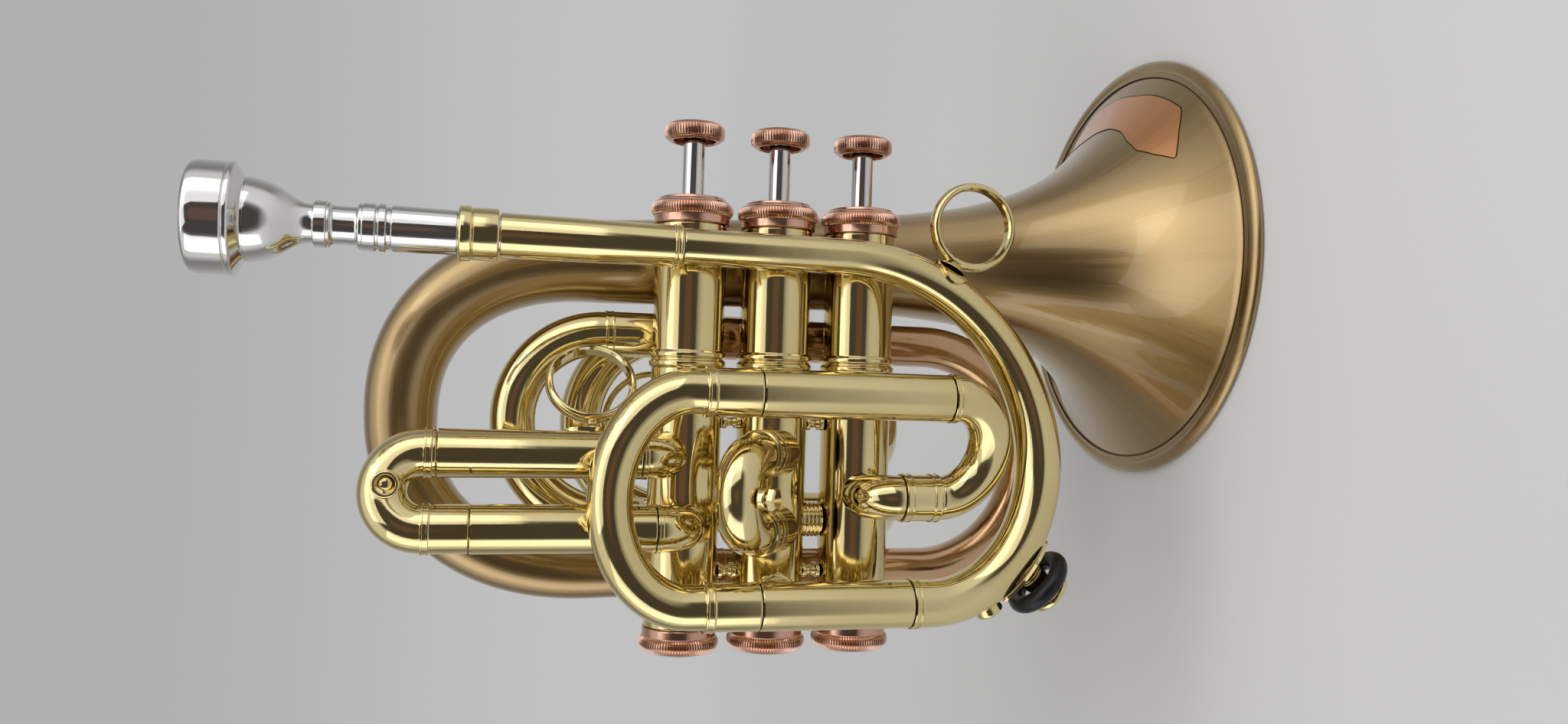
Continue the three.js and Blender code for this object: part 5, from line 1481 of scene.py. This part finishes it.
def make_braces():
    ends = [vec(height, side - FIRST_R, BRACE_Z)
            for height, side in ((FIRST_TOP[0] - 1.5, FIRST_TOP[1]), (FIRST_LOW[0] + 3.2, FIRST_LOW[1]))]
    shape = rod(*ends, BRACE_ROD, 24)
    for end, leg in zip(ends, (FIRST_TOP, FIRST_LOW)):
        axis = vec(*leg, BRACE_Z)
        out = unit(end - axis)
        shape.join(straight_saddle(axis, out, FIRST_R + 0.02, BRACE_LEAF))
        shape.join(torus(axis + out * (FIRST_R + 0.9), out, BRACE_ROD + 0.35, 0.4, 24, 10))
    brass("first_brace", shape, "first_slide_brace")

    near = [(0.1, 0), (0.1, TIE_ROD + 0.9), (0.8, TIE_ROD + 0.7), (1.3, TIE_ROD)]
    far = [(-1.9, TIE_ROD), (-1.6, TIE_FOOT - 0.5), (-1.1, TIE_FOOT), (0.9, TIE_FOOT), (0.9, 0)]
    profile = shifted(TUNING_R, 0, near) + shifted(-TUNING_Y - CASING_R, 0, far)
    brass("lower_brace", turned(profile, vec(TUNING_LOW, TUNING_Y, 0), Y, 40, POST_EDGE), "lower_tube_brace")


def finish_kept_nodes():
    for name, thing in frame["nodes"].items():
        if name.startswith("valve_guide"):
            for slot in thing.material_slots:
                slot.material = PLASTIC


# Stage

CAMERA_PLACE = vec(-1.004, -315.16, 81.09)
CAMERA_TURN = Vector((-0.019, -0.261, 0.034))
CAMERA_AXES = np.array([[0, 0, -1], [-1, 0, 0], [0, 1, 0]], dtype=float)
SENSOR = 36
FOCAL = 1526.8 / 2048 * SENSOR
FLOOR_RINGS = (0.12, 0.2, 0.3, 0.45, 0.7, 1.0)
FLOOR_SIDES = 64
FLOOR_DROP = 0.0001
WINDOW_WAY = Vector((-0.02, -0.97, 0.24))
DARK = (0.085, 0.075, 0.07)
WARM = (0.17, 0.105, 0.085)


def camera():
    rows = np.array(Matrix.Rotation(CAMERA_TURN.length, 3, CAMERA_TURN)) @ CAMERA_AXES
    data = bpy.data.cameras.new("camera")
    data.lens = FOCAL
    data.sensor_width = SENSOR
    data.sensor_fit = "HORIZONTAL"
    data.clip_start = 0.01
    data.clip_end = 50
    thing = add_object("camera", data)
    rotation = Matrix((rows[0], -rows[1], -rows[2])).transposed().to_4x4()
    thing.matrix_world = Matrix.Translation(packed(CAMERA_PLACE)) @ rotation
    bpy.context.scene.camera = thing


def area(name, place, target, size, power):
    data = bpy.data.lights.new(name, "AREA")
    data.shape = "RECTANGLE"
    data.size, data.size_y = size
    data.energy = power
    thing = add_object(name, data)
    thing.location = place
    thing.rotation_euler = (Vector(target) - Vector(place)).to_track_quat("-Z", "Y").to_euler()


def floor():
    """A pale table that fades out with distance, so that it has no edge."""
    angles = np.linspace(0, math.tau, FLOOR_SIDES, endpoint=False)
    verts = [(0.0, 0.0, 0.0)]
    rows = [[0]]
    for radius in FLOOR_RINGS:
        rows.append(list(range(len(verts), len(verts) + FLOOR_SIDES)))
        verts += [(radius * math.cos(a), radius * math.sin(a), 0.0) for a in angles]
    mesh = bpy.data.meshes.new("floor")
    mesh.from_pydata(verts, [], [face[::-1] for face in ring_faces(rows, FLOOR_SIDES, False)])
    m = Nodes("floor")
    length = add_node(m.tree, "ShaderNodeVectorMath", {0: m.place}, "LENGTH")
    mesh.materials.append(m.shade({
        "Base Color": m.tones(m.noise(3.0, 2.0), (0.71, 0.71, 0.715), (0.75, 0.75, 0.755)),
        "Roughness": 0.85,
        "Alpha": m.span(length.outputs["Value"], 1.0, 0.0, 0.22, 0.75),
    }))
    thing = add_object("floor", mesh)
    thing.location = (0, 0, -FLOOR_DROP)


def greys(tint, stops):
    """Stops of grey, with the blue multiplied by tint."""
    return [(position, (tone, tone, tone * tint)) for position, tone in stops]


def backdrop(tree, value, stops, strength=1.0):
    """A smooth scale of colours over a value from -1 to 1."""
    spread = add_node(tree, "ShaderNodeMapRange", {"From Min": -1, "From Max": 1, "Value": value})
    ramp = add_node(tree, "ShaderNodeValToRGB", {"Fac": spread.outputs["Result"]})
    ramp.color_ramp.interpolation = "EASE"
    fill_ramp(ramp.color_ramp, stops)
    sockets = {"Color": ramp.outputs["Color"], "Strength": strength}
    return add_node(tree, "ShaderNodeBackground", sockets).outputs["Background"]


def world():
    """Pale grey to the camera; to reflections, a light tent with a dark opening on the front side."""
    made = bpy.data.worlds.new("studio")
    bpy.context.scene.world = made
    made.use_nodes = True
    tree = made.node_tree
    tree.nodes.clear()
    way = tree.nodes.new("ShaderNodeTexCoord").outputs["Generated"]
    dot = add_node(tree, "ShaderNodeVectorMath", {0: way, 1: WINDOW_WAY.normalized()}, "DOT_PRODUCT")
    split = add_node(tree, "ShaderNodeSeparateXYZ", {0: way})
    tent = greys(0.99, [(0.0, 0.62), (0.38, 0.32), (0.55, 0.90), (0.80, 0.96), (0.88, 0.14)])
    tent += [(0.905, DARK), (0.985, DARK), (0.995, WARM)]
    pale = greys(1.01, [(0.0, 0.60), (0.45, 0.53), (0.62, 0.435), (1.0, 0.385)])
    mix = add_node(tree, "ShaderNodeMixShader", {
        "Fac": tree.nodes.new("ShaderNodeLightPath").outputs["Is Camera Ray"],
        1: backdrop(tree, dot.outputs["Value"], tent, 0.85),
        2: backdrop(tree, split.outputs["Z"], pale),
    })
    add_node(tree, "ShaderNodeOutputWorld", {"Surface": mix.outputs["Shader"]})


def stage():
    bpy.context.scene.view_settings.view_transform = "Standard"
    world()
    floor()
    area("key", (0.60, -0.55, 0.55), (0, 0, 0.12), (0.8, 0.9), 2.3)
    area("left", (0.1, -0.35, 0.80), (0, 0, 0.13), (0.8, 0.5), 1.2)
    area("fill", (-0.7, -0.4, 0.35), (0, 0, 0.12), (0.5, 0.9), 1.2)
    camera()


make_valves()
make_bell()
make_leadpipe()
make_entry()
make_first_slide()
make_second_slide()
make_third_slide()
make_rings()
make_spool()
make_braces()
finish_kept_nodes()
stage()

bpy.context.view_layer.update()
